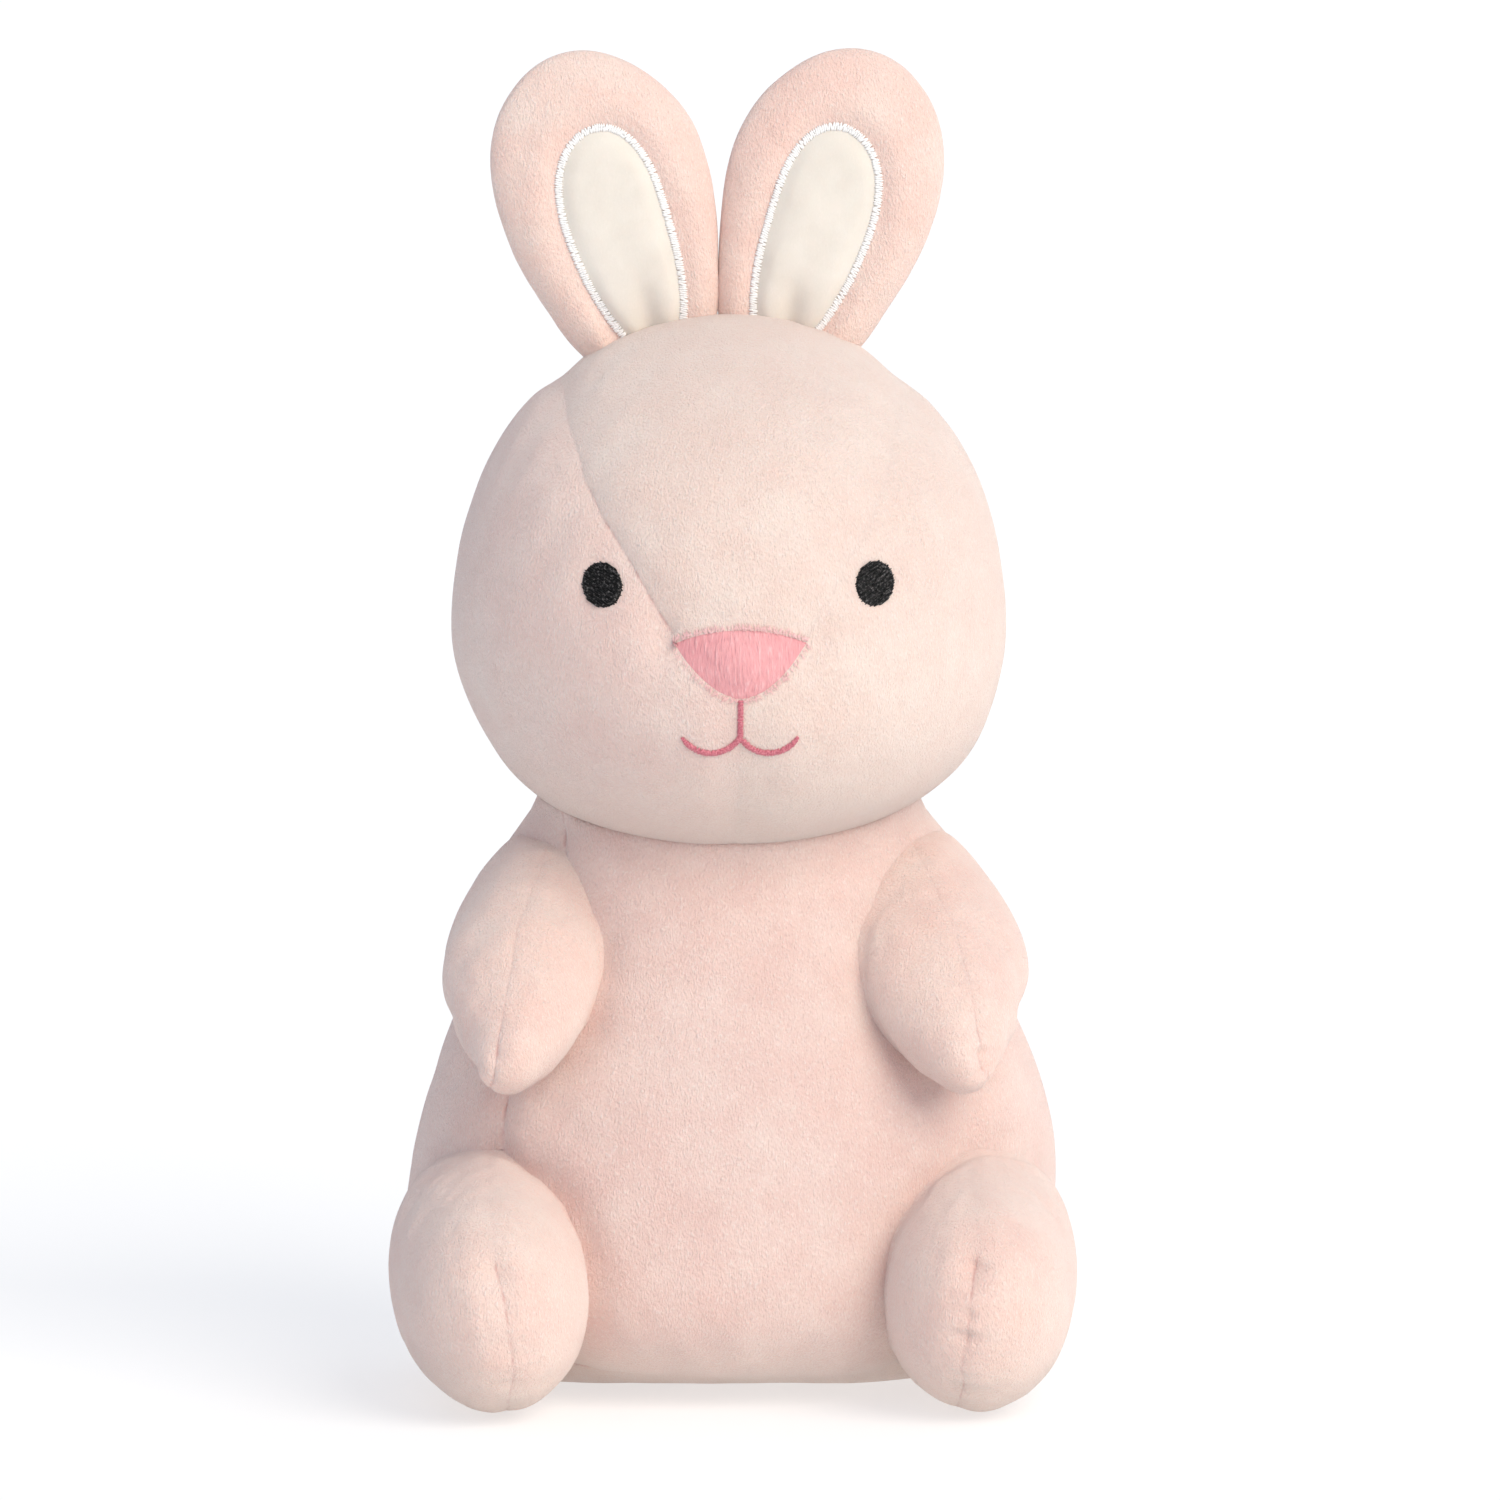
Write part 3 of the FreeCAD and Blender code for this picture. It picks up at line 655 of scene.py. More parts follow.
# Painted light: the nose plush made lighter for the fringe, against the shade among its fibres.
NOSE_FRINGE_LIT = plush("nose_tips", (0.975, 0.800, 0.795), (0.960, 0.740, 0.745), bump=0.2, pile=0.2)
TAIL = plush("tail_plush", (0.970, 0.930, 0.890), (0.945, 0.890, 0.840), bump=0.8)
WHITE_THREAD = thread("white_thread", (0.985, 0.985, 0.985), (0.93, 0.925, 0.92))
# The mouth thread is rose pink; its lighter pink along the twist is painted highlight.
ROSE_THREAD_HIGHLIT = thread("rose_thread", (0.900, 0.580, 0.620), (0.715, 0.335, 0.405), grain=0.24, low=0.42,
                     high=0.68, patchy=0.1)
# The eye thread is black; its light grey flecks along the twist are painted glints.
BLACK_THREAD_GLINTS = thread("black_thread", (0.46, 0.45, 0.45), (0.02, 0.02, 0.022), rough=0.4, sheen=0.0,
                      grain=0.42, low=0.52, high=0.72, gloss=0.2, patchy=0.0)
BLACK_BASE = thread("black_base", (0.05, 0.05, 0.05), (0.02, 0.02, 0.022), rough=0.8, sheen=0.0)
SEAM_THREAD = thread("seam_thread", (0.93, 0.80, 0.75), (0.85, 0.70, 0.65))
LABEL = thread("label_satin", (0.965, 0.96, 0.95), (0.91, 0.905, 0.89), rough=0.35)


def finish_piece(o, material, slot, body=None, hides=(), bend=None):
    o.data.materials.append(material)
    if bend:
        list(bend[:2])
        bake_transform(o)
    else:
        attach(o, body)
    if hides:
        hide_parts(*hides)


def on_floor(points, lowest=0.25, free=0.6):
    """Rests on the floor where it would reach through it."""
    z, soft = points[:, 2], free - lowest
    points[:, 2] = np.where(z < free, lowest + soft * np.exp((z - free) / soft), z)
    return points


# ------ head
# Half the gusset's width, by the angle round the head from the side: 0 is forwards and 90 is up.
GUSSET_ANGLE = np.radians([-60, -3.2, -2.4, 3, 10, 18.8, 27.6, 38.3, 53, 64.5, 90, 138, 192, 253, 262])
GUSSET_EDGE = np.array([-6, -6, 12.3, 14.8, 18.4, 22.3, 25.8, 28.6, 30.8, 32, 32, 28.5, 20, 9, -3.0])
GUSSET_MIDDLE = 150.0
NOSE_LOW, NOSE_WIDE_Z, NOSE_WIDE = 137.7, 147.7, 12.5
EYE_AT = np.array([25.5, 158.0])


def gusset_half(p):
    around = np.arctan2(p[:, 2] - GUSSET_MIDDLE, -(p[:, 1] - HEAD_Y))
    around = np.where(around < math.radians(-60), around + 2 * np.pi, around)
    return np.interp(around, GUSSET_ANGLE, GUSSET_EDGE, left=-6, right=-6) + 0.35 * noise(p, 7.0, 3)


def nose_seam(p):
    x, z = np.abs(p[:, 0]), p[:, 2]
    top = z - (150.5 - 2.6 * (x / NOSE_WIDE) ** 2)
    return np.where(p[:, 1] < HEAD_Y, np.maximum(top, x - nose_half(z)), 20.0)


def nose_half(z):
    up = (z - NOSE_LOW) / (NOSE_WIDE_Z - NOSE_LOW)
    return NOSE_WIDE * np.where(up > 0, np.abs(up) ** 0.56, 4 * up)


def gusset_seam(p):
    return np.abs(p[:, 0]) - gusset_half(p)


def head_panel(p):
    side = np.where(p[:, 0] > 0, 2, 3)
    return np.where(nose_seam(p) < 0, 1, np.where(gusset_seam(p) < 0, 0, side))


def face_seams(foot):
    """The seam on the right side of the face is drawn tight. The left one and the chin's hardly show."""
    x = foot[:, 0]
    front = foot[:, 1] < np.where(x > 0, 14, -8)
    tight = np.where(np.abs(x) < 4, 0.5, np.where(front, np.where(x > 0, 0.35, 1.0), 0.6))
    tight = tight * (1 - 0.45 * ramp(foot[:, 2], 168, 188))
    return np.where(front & (np.abs(nose_seam(foot)) < 1.5), 0.5, tight)


def make_head():
    seams = [nose_seam, gusset_seam, lambda p: p[:, 0]]
    dirs, push, tris, label = skin(head_form, seams, head_panel, 5, 6)
    rest = head_form(dirs)
    p = rest + push * ramp(rest[:, 2], 103, 116)[:, None]
    n = normals(p, tris)
    x, z = np.abs(p[:, 0]), p[:, 2]
    jowl = np.where(p[:, 0] > 0, 0.03 * bell(z - 117, 10), -0.02 * bell(z - 124, 12))
    p[:, 0] *= 1 + jowl + 0.01 * bell(z - 172, 12)
    front = p[:, 1] < -20
    rise = np.zeros(len(p))
    rise -= 0.9 * bell(np.hypot(x - EYE_AT[0], z - EYE_AT[1]), 5.5) * front  # eye sockets
    rise += 0.8 * bell(np.hypot(x / 1.2, z - 144.5), 6.0) * front  # nose
    dimple = np.where(p[:, 0] < 0, 1.5, 0.8)
    rise -= dimple * bell(np.hypot(x - 14.5, z - 149.0), 4.0) * front
    rise += 1.3 * bell(np.hypot(x / 1.5, z - 138.0), 17.0) * front  # muzzle
    p = p + n * rise[:, None]
    p, near = sew(p, tris, label, depth=0.45, width=0.8, dip=0.60, dip_width=2.8, pucker=0.55, seed=11,
                  amount=face_seams, free=ramp(z, 101, 118))
    panels = [("head_gusset_skin", HEAD_LIT, "body_plush", ["head_gusset", "head_stuffing"]),
              ("nose_skin", NOSE, "nose_plush", ["nose_panel"]),
              ("head_side_left_skin", HEAD_LIT, "body_plush", ["head_side_left"]),
              ("head_side_right_skin", HEAD_SHADED_SIDE, "body_plush", ["head_side_right"])]
    close_panels(panels, p, tris, label, near, rest, "head")
    return Surface(p, tris)


def make_eye(face, side):
    """A solid oval of slanting stitches over a low padded base."""
    cx, cz = EYE_AT[0] * side, EYE_AT[1]
    half = np.array([3.75, 4.15])
    slant = math.radians(32) * side
    rows, u = np.arange(-4.6, 4.61, 0.42), np.linspace(-5.5, 5.5, 221)
    paths, lifts = [], []
    rng = np.random.default_rng(31 if side > 0 else 32)
    along, across = np.array([(math.cos(slant), math.sin(slant)), (-math.sin(slant), math.cos(slant))])
    t = np.linspace(0, 1, 7)
    for i, v in enumerate(rows):
        q = along * u[:, None] + across * v
        inside = u[((q / half) ** 2).sum(1) < 1]
        if len(inside) < 3:
            continue
        low, high = inside[0], inside[-1]
        cuts = np.arange(low + (i % 3) * 1.1 - 2.6, high, 3.2)  # where one stitch ends and the next begins
        cuts = np.concatenate([[low], cuts[(cuts > low + 0.8) & (cuts < high - 0.8)], [high]])
        for a, b in zip(cuts[:-1], cuts[1:]):
            ends = np.array([a, b]) + rng.uniform(-0.2, 0.2, 2)
            q = along * (ends[0] + (ends[1] - ends[0]) * t)[:, None] + across * (v + rng.uniform(-0.05, 0.05))
            place, normal = face.under(cx + q[:, 0], cz + q[:, 1])
            dome = 0.42 * np.clip(1 - ((q / half) ** 2).sum(1), 0, 1) ** 0.5
            bow = 0.20 * np.sin(np.pi * t) ** 0.6
            paths.append(place + normal * (dome + bow - 0.02)[:, None])
            lifts.append(normal)
    points, tris = tubes(np.array(paths), np.array(lifts), 0.21)
    eye = "eye_left" if side > 0 else "eye_right"
    o = laid(f"{eye}_stitches", points, tris)
    pad = laid(f"{eye}_pad", *oval_pad(face, cx, cz, half * 0.97, 0.40))
    finish_piece(o, BLACK_THREAD_GLINTS, "black_thread", "head", [eye])
    finish_piece(pad, BLACK_BASE, "black_thread", "head")


def oval_pad(face, cx, cz, half, height):
    """A closed lens on the face that carries the stitches."""
    dirs, tris = ball(4)
    place, normal = face.under(cx + half[0] * dirs[:, 0], cz + half[1] * dirs[:, 2])
    return place - normal * (dirs[:, 1] * np.where(dirs[:, 1] < 0, height, 0.5))[:, None], tris


def satin(face, path, width, spacing, radius, rise, seed, slant=0.25, wander=0.06, taper=0.0):
    """Satin stitches side by side across a path of (x, z) points, as tubes. Returns points and triangles."""
    step = np.linalg.norm(np.diff(path, axis=0), axis=1)
    s = np.concatenate([[0], np.cumsum(step)])
    at = np.arange(spacing / 2, s[-1], spacing)
    x, z = np.interp(at, s, path[:, 0]), np.interp(at, s, path[:, 1])
    tangent = unit(np.stack([np.gradient(x), np.gradient(z)], 1))
    side = np.stack([-tangent[:, 1], tangent[:, 0]], 1)
    rng = np.random.default_rng(seed)
    t = np.linspace(-0.5, 0.5, 7)
    size = width * (1 + rng.uniform(-wander, wander, len(at))) * (1 - taper * ramp(at, s[-1] - 2.5, s[-1]))
    q = (np.stack([x, z], 1)[:, None] + side[:, None] * (t[None] * size[:, None])[..., None]
         + tangent[:, None] * (t[None] * slant * width)[..., None])
    q += tangent[:, None] * (t[None] * rng.normal(0, 2.5 * wander, len(at))[:, None])[..., None]
    place, normal = face.under(q[..., 0], q[..., 1])
    dome = rise * np.cos(np.pi * t) ** 0.6 + rng.uniform(-1, 1, len(at))[:, None] * (0.02 + 0.3 * wander)
    return tubes(place + normal * (dome - 0.03)[..., None], normal, radius)


def make_mouth(face):
    """Two lips and the line from the nose down to them, each a row of satin stitches."""
    turn = np.radians(np.linspace(0, 1, 40) * 118 + 34)
    lips = [np.stack([side * (5.4 - 6.2 * np.cos(turn)), 133.2 - 6.2 * np.sin(turn)], 1) for side in (1, -1)]
    down = np.stack([np.zeros(20), np.linspace(NOSE_LOW - 0.3, 129.3, 20)], 1)
    size = {"width": 1.15, "spacing": 0.36, "radius": 0.24, "rise": 0.38}
    rows = [satin(face, path, **size, wander=0.12, taper=0.55, seed=41 + k) for k, path in enumerate(lips)]
    rows.append(satin(face, down, **size, seed=43))
    starts = np.cumsum([0] + [len(points) for points, _ in rows])
    tris = np.concatenate([tris + start for (_, tris), start in zip(rows, starts)])
    o = laid("mouth_stitches", np.concatenate([points for points, _ in rows]), tris)
    finish_piece(o, ROSE_THREAD_HIGHLIT, "rose_thread", "head", ["mouth_stitching"])


def make_nose_pile(face):
    """Tufts of pile that lap over the nose's edges."""
    rng = np.random.default_rng(61)
    x = rng.uniform(-NOSE_WIDE, NOSE_WIDE, 300)
    top = rng.uniform(size=len(x)) < 0.6
    low_z = NOSE_LOW + (NOSE_WIDE_Z - NOSE_LOW) * (np.abs(x) / NOSE_WIDE) ** (1 / 0.56)
    z = np.where(top, 150.5 - 2.6 * (x / NOSE_WIDE) ** 2, low_z) + rng.uniform(-0.35, 0.1, len(x))
    aside = rng.normal(0, 0.35, len(x)) + np.where(top, 0, 0.5 * np.sign(x))
    aim = np.stack([aside, np.where(top, 1.0, -0.8)], 1)
    t = np.linspace(0, 1, 4)
    reach = rng.uniform(0.7, 1.5, len(x))[:, None] * t
    place, normal = face.under(x[:, None] + aim[:, :1] * reach, z[:, None] + aim[:, 1:] * reach)
    lift = 0.04 + 0.28 * np.sin(np.pi * (0.12 + 0.8 * t))
    points, tris = tubes(place + normal * lift[:, None], normal, 0.08, sides=5, taper=0.2)
    o = laid("nose_pile", points, tris)
    give(o, "seam", np.zeros(len(points)))
    finish_piece(o, NOSE_FRINGE_LIT, "nose_plush", "head")


# ------ ears
# The left ear and its cream patch from the front, as (x, z) points.
EAR_OUTLINE = np.array([
    (12, 190), (20, 190), (26.5, 196), (30.5, 201.2), (35.7, 208.9), (39.6, 216.6), (42.0, 224), (43.2, 231),
    (42.8, 237), (40.6, 243.6), (37.0, 248.8), (32.0, 252.3), (26.0, 253.9), (20.0, 253.0), (14.6, 250.4),
    (9.8, 246.8), (6.0, 242.4), (3.0, 236.4), (1.0, 229), (-0.1, 220), (-0.5, 210), (-0.3, 202), (4.0, 194)])
INNER_OUTLINE = np.array([
    (10, 194.5), (14, 195), (18.6, 198.9), (21.8, 203.3), (24.9, 208.0), (28.2, 214.8), (30.4, 221.4),
    (31.3, 228.6), (30.2, 234.2), (27.4, 238.4), (23.4, 240.6), (19.6, 240.2), (15.8, 237.6), (12.2, 232.5),
    (9.1, 224.2), (7.0, 216.1), (6.0, 209.4), (5.7, 203.7), (6.6, 197.5)])
EAR_MIDDLE, INNER_MIDDLE = np.array([22.0, 224.0]), np.array([18.5, 219.0])
EAR_HALF, EAR_SEAM_Y = 6.2, 1.6
EAR_SHIFT = np.array([-1.9, 0, 0])


def rounded_outline(points, middle, soft):
    """Distance from the middle to a closed outline, by angle, with its corners rounded over this many mm."""
    loop = np.concatenate([points, points[:1]])
    s = np.concatenate([[0], np.cumsum(np.linalg.norm(np.diff(loop, axis=0), axis=1))])
    at = np.linspace(0, s[-1], 601)[:-1]
    line = np.stack([np.interp(at, s, loop[:, k]) for k in (0, 1)], 1)
    gap = np.abs(at[:, None] - at[None])
    weight = bell(np.minimum(gap, s[-1] - gap), soft)
    d = (weight @ line) / weight.sum(1, keepdims=True) - middle
    a, r = np.arctan2(d[:, 1], d[:, 0]), np.hypot(d[:, 0], d[:, 1])
    order = np.argsort(a)
    return lambda angle: np.interp(angle, a[order], r[order], period=2 * np.pi)


ear_edge = rounded_outline(EAR_OUTLINE, EAR_MIDDLE, 4.0)
inner_edge = rounded_outline(INNER_OUTLINE, INNER_MIDDLE, 3.5)


def ear_form(side):
    def form(dirs):
        d = dirs * (side, 1, 1)
        flat = np.hypot(d[:, 0], d[:, 2])
        angle = np.arctan2(d[:, 2], d[:, 0])
        r = ear_edge(angle) * flat
        half = EAR_HALF * (1 - 0.15 * ramp(d[:, 2], 0.2, 1.0))
        y = np.sign(d[:, 1]) * half * np.sqrt(np.clip(1 - flat**3.2, 0, 1))
        x = EAR_MIDDLE[0] + r * np.cos(angle)
        z = EAR_MIDDLE[1] + r * np.sin(angle)
        return np.stack([x * side, y + 0.3, z], 1)
    return form


def inner_distance(p):
    """Distance from the cream patch's edge in the plane of the ear, negative inside."""
    d = np.stack([np.abs(p[:, 0]), p[:, 2]], 1) - INNER_MIDDLE
    return np.hypot(d[:, 0], d[:, 1]) - inner_edge(np.arctan2(d[:, 1], d[:, 0]))


def make_ear(side):
    ear = "ear_left" if side > 0 else "ear_right"
    form = ear_form(side)

    def panel(p):
        return np.where(p[:, 1] > EAR_SEAM_Y, 1, np.where(inner_distance(p) < -0.9, 2, 0))

    def rim(p):
        return p[:, 1] - EAR_SEAM_Y

    def patch(p):
        return np.where(p[:, 1] < 0.3, inner_distance(p) + 0.9, 30.0)

    dirs, push, tris, label = skin(form, [rim, patch], panel, 4, 6, seam_width=1.6, passes=1, most=0.12)
    rest = form(dirs)
    p = rest + push * 0.7
    n = normals(p, tris)
    front = ramp(-n[:, 1], 0.1, 0.6)
    edge = inner_distance(p)
    x, z = np.abs(p[:, 0]), p[:, 2]
    rise = -0.9 * bell(edge + 0.9, 2.6) * front  # the groove of the satin edge
    rise += 0.45 * bell(edge - 4.5, 3.0) * front  # the padding round it
    rise -= 1.9 * bell(x - 12.8 - 0.15 * (z - 200), 2.4) * ramp(z, 214, 201) * front  # folds at the root
    rise -= 0.9 * bell(x - 20.5 - 0.5 * (z - 200), 1.6) * ramp(z, 212, 202) * front
    p = p + n * rise[:, None]
    p, near = sew(p, tris, label, depth=0.2, width=0.7, dip=0.05, dip_width=3.0, pucker=0.10, seed=21 + side)
    bend = ("head", ear, np.array([14.0 * side, 0, 198.0]), np.array([14.0 * side, 0, 213.0]))
    panels = [(f"{ear}_front_skin", EAR_LIT, "body_plush", [f"{ear}_front", f"{ear}_stuffing"]),
              (f"{ear}_back_skin", EAR_LIT, "body_plush", [f"{ear}_back"]),
              (f"{ear}_lining_skin", LINING, "ear_lining", [f"{ear}_inner"])]
    close_panels(panels, p + EAR_SHIFT, tris, label, near, rest, bend=bend)
    face = Surface(p, tris)
    turn = np.linspace(math.radians(-101), math.radians(238), 500)
    r = inner_edge(turn) - 1.0
    path = INNER_MIDDLE + np.stack([np.cos(turn), np.sin(turn)], 1) * r[:, None]
    path = path * (side, 1)
    points, thread_tris = satin(face, path, width=1.6, spacing=0.42, radius=0.22, rise=0.42, slant=0.18,
                                wander=0.09, seed=51 + side)
    o = laid(f"{ear}_satin_stitches", points, thread_tris, EAR_SHIFT)
    finish_piece(o, WHITE_THREAD, "white_satin_thread", None, [f"{ear}_satin_edge"], bend)


# ------ limbs and body
# Where the fabric of an arm or leg would begin and end its turn with the joint. They are passed on as bend
# but not read.
ARM_BEND = SHOULDER + np.array([(0, 3, 3), (1, -18, -12)])
LEG_BEND = HIP + np.array([(0, 8, 0), (0, -22, 0)])
# Seams as (z, x) points, with x from the middle plane, or on a leg from the hip.
ARM_SEAM = np.array([(58, 46.8), (62, 46.5), (71, 45.2), (82, 43.3), (91, 41.0), (100, 36.5), (108, 33.0)])
LEG_SEAM = np.array([(0, -1.8), (12, -2.2), (24, -0.6), (34, 0.9), (48, 1.0)])
SIDE_SEAM = np.array([(0, 46.5), (45, 46.0), (70, 41.0), (98, 33.5), (116, 31.0)])


def arm_seam(p):
    return np.interp(p[:, 2], *ARM_SEAM.T) + 0.3 * noise(p, 8.0, 7)


def leg_seam(side):
    shift = 0.0 if side < 0 else -2.0
    return lambda p: HIP[0] + shift + np.interp(p[:, 2], *LEG_SEAM.T) + 0.55 * noise(p, 7.0, 8 + side)


def arm_drawn(foot):
    return 0.74 + 0.4 * ramp(foot[:, 2], 80, 64)


def leg_drawn(foot):
    return 0.2 + 0.7 * ramp(foot[:, 2], 38, 27) + 0.4 * bell(foot[:, 2] - 31, 4)


def make_limb(kind, side, form, seam_at, ends, levels, drawn, ridge, dent, seed):
    """Two panels with a seam down the middle, standing on a low ridge.

    drawn(foot) is how tight the seam is, and dent is the height and depth of the gather in it.
    """
    limb = f"{kind}_left" if side > 0 else f"{kind}_right"

    def seam(p):
        return p[:, 0] * side - seam_at(p)

    def panel(p):
        return np.where(seam(p) > 0, 0, 1)

    dirs, push, tris, label = skin(form, [seam], panel, *levels)
    rest = form(dirs)
    p = rest + push
    n = normals(p, tris)
    gather = dent[1] * bell(np.hypot(seam(p), p[:, 2] - dent[0]), 3.0) * (p[:, 1] < -20)
    p = p + n * (ridge * bell(seam(p), 5.0) - gather)[:, None]
    p, near = sew(p, tris, label, depth=0.28, width=0.7, dip=0.05, dip_width=2.5, pucker=1.60, seed=seed,
                  amount=drawn)
    pinch = torso_gap(p)
    p = p + normals(p, tris) * (-0.9 * bell(pinch, 2.2))[:, None]
    p = on_floor(p)
    panels = [(f"{limb}_outer_skin", LIMB_LIT, "body_plush", [f"{limb}_outer_panel", f"{limb}_stuffing"]),
              (f"{limb}_inner_skin", LIMB_LIT, "body_plush", [f"{limb}_inner_panel"])]
    close_panels(panels, p, tris, label, near, rest, bend=("torso", limb, *(ends * (side, 1, 1))))
    return p


def side_seam(p):
    return np.maximum(np.abs(p[:, 0]) - np.interp(p[:, 2], *SIDE_SEAM.T), p[:, 1])


def base_seam(p):
    return p[:, 2] - 4.0


def back_seam(p):
    return np.where(p[:, 1] > 0, p[:, 0], 30.0)


def torso_panel(p):
    back = np.where(p[:, 0] > 0, 1, 2)
    return np.where(base_seam(p) < 0, 3, np.where(side_seam(p) < 0, 0, back))


def torso_seams(foot):
    """The side seam on the rabbit's right is the tighter one."""
    return np.where(foot[:, 1] > 20, 0.8, np.where(foot[:, 0] < 0, 1.1, 0.55))


def make_torso(limbs):
    dirs, push, tris, label = skin(torso_form, [base_seam, side_seam, back_seam], torso_panel, 5, 6)
    rest = torso_form(dirs)
    p = rest + push * ramp(np.linalg.norm(rest - NOD_CENTRE, axis=1) - DISH_RADIUS, 0.0, 5.0)[:, None]
    dish = np.linalg.norm(p - NOD_CENTRE, axis=1) - DISH_RADIUS
    p, near = sew(p, tris, label, depth=0.45, width=0.7, dip=0.45, dip_width=4.5, pucker=0.50, seed=61,
                  amount=torso_seams, free=ramp(dish, 0.0, 5.0))
    n = normals(p, tris)
    for limb in limbs:
        close = np.nonzero(((p > limb.min(0) - 9) & (p < limb.max(0) + 9)).all(1))[0]
        away, _ = distance_to(p[close], limb)
        p[close] -= n[close] * (1.5 * bell(away, 4.5) * ramp(p[close, 2], 108, 94))[:, None]
    p = on_floor(p)
    hides = ["belly_panel", "torso_stuffing", "pellet_bag", "pellet_fill"]
    panels = [("belly_skin", BODY, "body_plush", hides),
              ("back_left_skin", BODY, "body_plush", ["back_panel_left"]),
              ("back_right_skin", BODY, "body_plush", ["back_panel_right"]),
              ("base_skin", BODY, "body_plush", ["base_panel"])]
    close_panels(panels, p, tris, label, near, rest, "torso")
    return Surface(p, tris)


def torso_gap(p):
    """Roughly how far each point is from the skin of the torso."""
    q = (p - (0, 0, TORSO_MIDDLE)) / (1, TORSO_SQUASH, 1)
    return np.linalg.norm(p - torso_form(unit(q)), axis=1)


def make_neck():
    """The turned-in edge of the neck seam, gathered in small folds."""
    around, tube = 240, 12
    i, j = np.meshgrid(np.arange(around), np.arange(tube), indexing="ij")
    t, s = i * (2 * np.pi / around), j * (2 * np.pi / tube)
    gather = 1 + 0.10 * np.sin(t * 46) + 0.05 * np.sin(t * 17 + 1)
    r = 21.0 + 1.6 * np.cos(s) * gather
    z = 103.2 + 1.1 * np.sin(s) * gather
    points = np.stack([r * np.cos(t), HEAD_Y + r * np.sin(t), z], 2).reshape(-1, 3)
    i, j, k, m = i.ravel() * tube, j.ravel(), (i.ravel() + 1) % around * tube, (j.ravel() + 1) % tube
    tris = np.concatenate([np.stack([i + j, k + j, k + m], 1), np.stack([i + j, k + m, i + m], 1)])
    o = laid("neck_seam_roll", points, tris)
    give(o, "seam", np.zeros(len(points)))
    finish_piece(o, BODY, "body_plush", "neck", ["neck_seam_ring"])


def make_tail():
    centre, radius = np.array([0, 52.0, 30.0]), 13.4
    dirs, tris = ball(6)
    curl = 0.9 * noise(dirs * radius, 3.4, 71) + 0.5 * noise(dirs * radius, 1.7, 72)
    pull = 1.6 * ramp(-dirs[:, 1], 0.55, 0.95)
    points = centre + dirs * (radius + np.abs(curl) * 1.1 - 0.7 - pull)[:, None]
    points[:, 1] = np.minimum(points[:, 1], 67.5)
    o = laid("tail_pom", points, tris)
    give(o, "seam", np.clip(0.5 - np.abs(curl), 0, 0.5))
    finish_piece(o, TAIL, "tail_plush", "torso", ["tail_cover", "tail_stuffing"])


def make_label():
    """A blank folded label sewn into the base seam at the back."""
    across, along = 15, 40
    s = np.linspace(0, 1, along)
    x, y = np.meshgrid(21 + np.linspace(-7, 7, across), 31.0 + 22.0 * s, indexing="ij")
    z = 5.2 + 0.9 * np.sin(s * 3.4) - 2.2 * s**2 + 0.35 * np.sin((x - 14) / 14 * np.pi) * s
    middle = np.stack([x, y, z], 2).reshape(-1, 3)
    i, j = np.meshgrid(np.arange(across - 1), np.arange(along - 1), indexing="ij")
    a = (i * along + j).ravel()
    b = a + along
    upper = np.concatenate([np.stack([a, b, b + 1], 1), np.stack([a, b + 1, a + 1], 1)])
    points = np.concatenate([middle + (0, 0, 0.22), middle - (0, 0, 0.22)])
    count = len(middle)
    faces = np.concatenate([upper, upper[:, ::-1] + count, walls_round(upper, count)])
    o = laid("care_label_ribbon", points, faces)
    finish_piece(o, LABEL, "label_satin", "torso", ["care_label"])


def make_closing(back):
    """Slanting ladder stitches on the back seam."""
    z = 62.0 + 4.0 * np.arange(8)
    t = np.linspace(-1, 1, 9)
    x = np.tile(t * 1.7, (8, 1))
    zz = z[:, None] + 0.5 * t[None]
    place, normal = back.under(x, zz, -1.0)
    lift = 0.30 * np.sqrt(np.clip(1.02 - t**2, 0, 1)) - 0.05
    points, tris = tubes(place + normal * lift[None, :, None], normal, 0.3)
    o = laid("closing_stitch_loops", points, tris)
    finish_piece(o, SEAM_THREAD, "seam_thread", "torso", ["closing_stitches"])


# ------ stage
def aimed(name, data, place, back):
    """A light or camera at this place that looks away from back."""
    o = bpy.data.objects.new(name, data)
    o.location = place
    o.rotation_mode = "QUATERNION"
    o.rotation_quaternion = (-back).to_track_quat("-Z", "Y")
    bpy.context.scene.collection.objects.link(o)
    return o


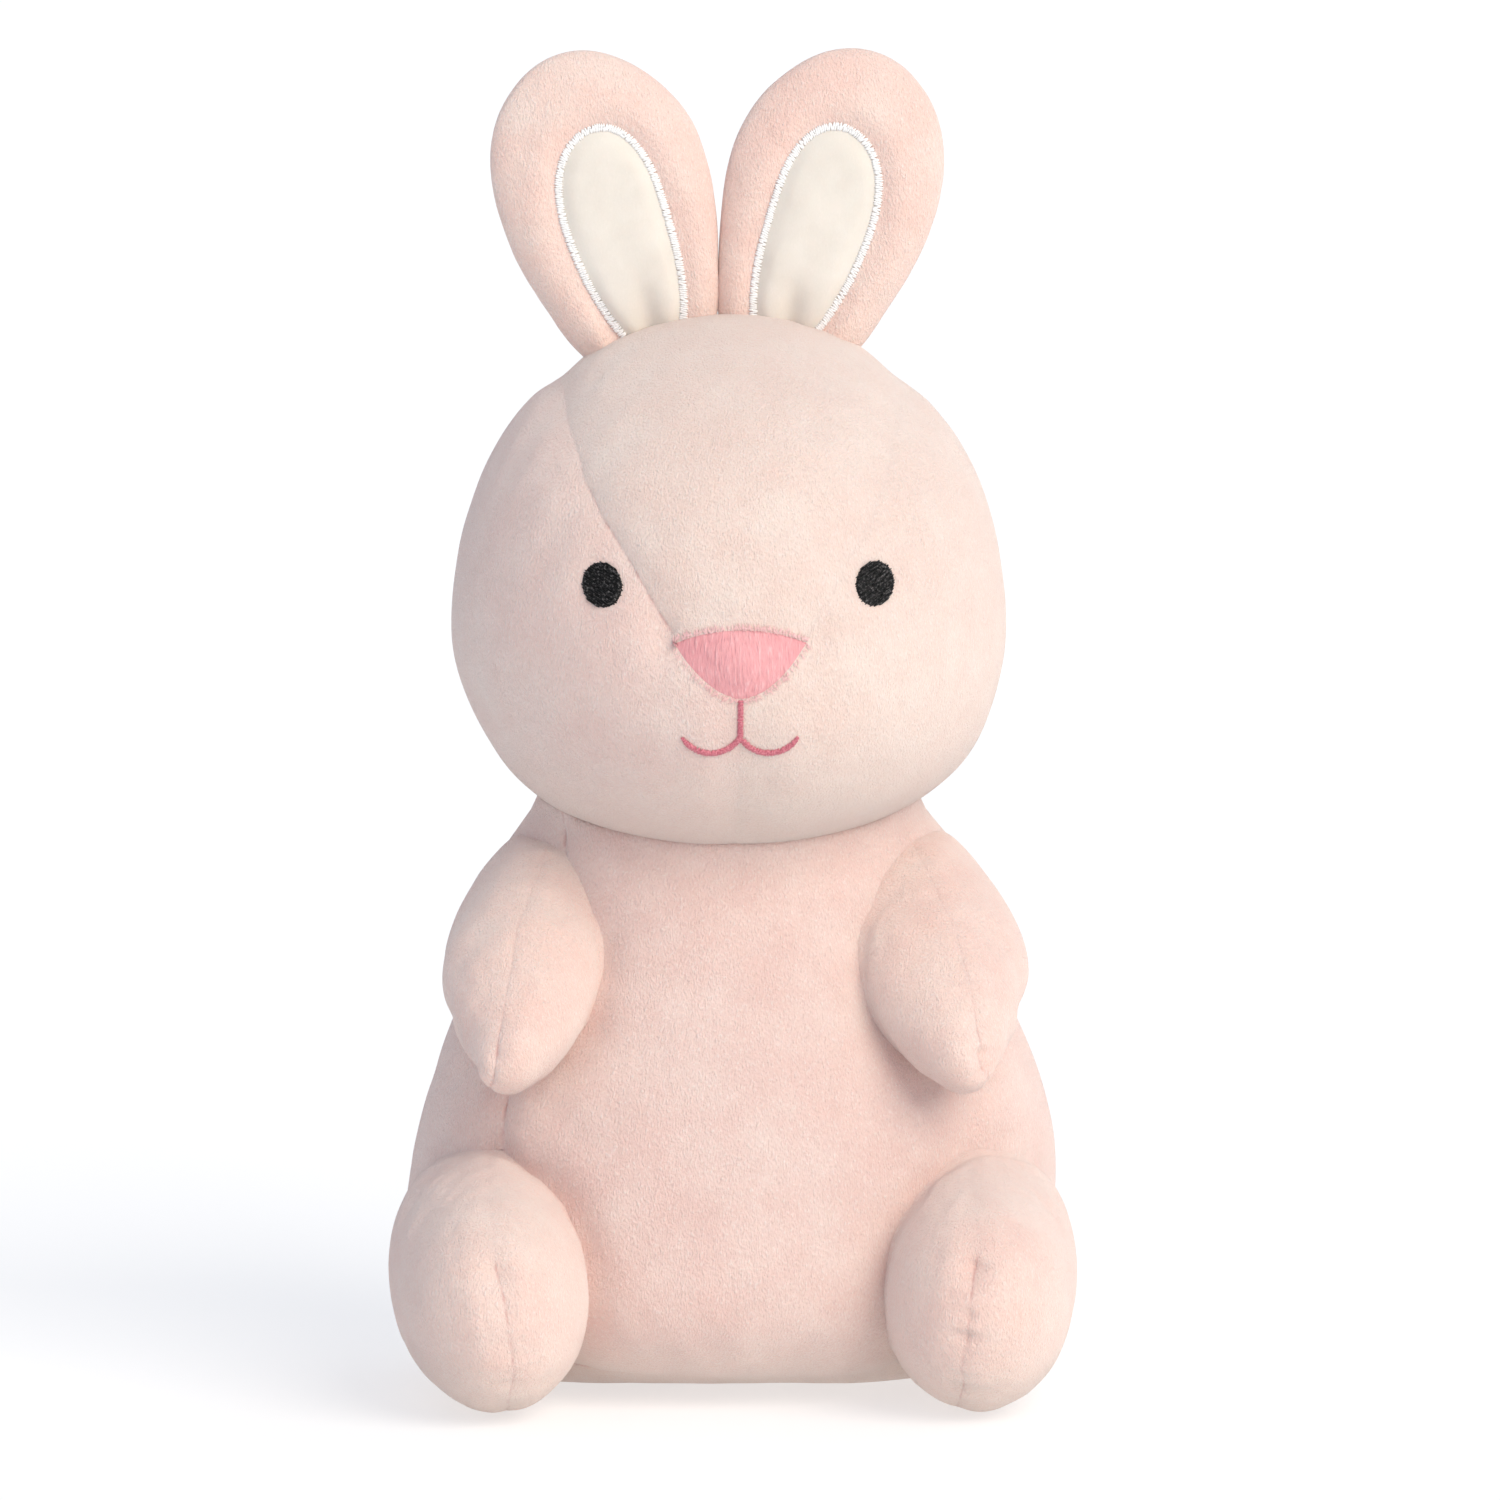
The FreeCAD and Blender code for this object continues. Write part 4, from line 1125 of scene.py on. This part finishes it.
def make_stage():
    corners = 60.0 * np.array([(-1, -1, 0), (1, -1, 0), (1, 1, 0), (-1, 1, 0)])
    floor = new_object("floor", corners, np.array([(0, 1, 2), (0, 2, 3)]))
    m, _ = shader("floor", Roughness=0.9, Base_Color=(0.45, 0.45, 0.45, 1), Emission_Color=(1, 1, 1, 1),
                  Emission_Strength=0.55)
    floor.data.materials.append(m)
    world = bpy.data.worlds.new("studio")
    world.use_nodes = True
    light = world.node_tree.nodes["Background"].inputs
    light[0].default_value, light[1].default_value = (0.90, 0.97, 1.12, 1), 0.61
    bpy.context.scene.world = world
    suns = [("key", (0.9, -1.15, 1.05), math.radians(44), 2.31, (0.985, 0.910, 0.785)),
            ("rim", (1.2, 0.9, 0.7), math.radians(50), 0.35, (1.0, 0.99, 0.98))]
    for name, at, angle, power, colour in suns:
        data = bpy.data.lights.new(name, "SUN")
        data.energy, data.color, data.angle = power, colour, angle
        aimed(name, data, at, Vector(at))
    bpy.context.scene.view_settings.view_transform = "Standard"


def make_camera(azimuth=-2.5, elevation=8.0, distance=4.0, span=0.285, right=0.0042, up=0.1189):
    a, e = math.radians(azimuth), math.radians(elevation)
    back = Vector((math.sin(a) * math.cos(e), -math.cos(a) * math.cos(e), math.sin(e)))
    across = Vector((math.cos(a), math.sin(a), 0))
    place = across * right + back.cross(across) * up + back * distance
    camera = aimed("camera", bpy.data.cameras.new("camera"), place, back)
    camera.data.lens = camera.data.sensor_width * distance / span
    bpy.context.scene.camera = camera


def make_all():
    face = make_head()
    for side in (1, -1):
        make_eye(face, side)
        make_ear(side)
    make_mouth(face)
    make_nose_pile(face)
    limbs = []
    for side in (1, -1):
        limbs.append(make_limb("arm", side, arm_form(side), arm_seam, ARM_BEND, levels=(4, 5),
                               drawn=arm_drawn, ridge=0.8, dent=(69, 0.7), seed=81 + side))
        limbs.append(make_limb("leg", side, leg_form(side), leg_seam(side), LEG_BEND, levels=(5, 6),
                               drawn=leg_drawn, ridge=0.6, dent=(31, 1.1), seed=91 + side))
    back = make_torso(limbs)
    make_neck()
    make_tail()
    make_label()
    make_closing(back)


make_all()
make_stage()
make_camera()
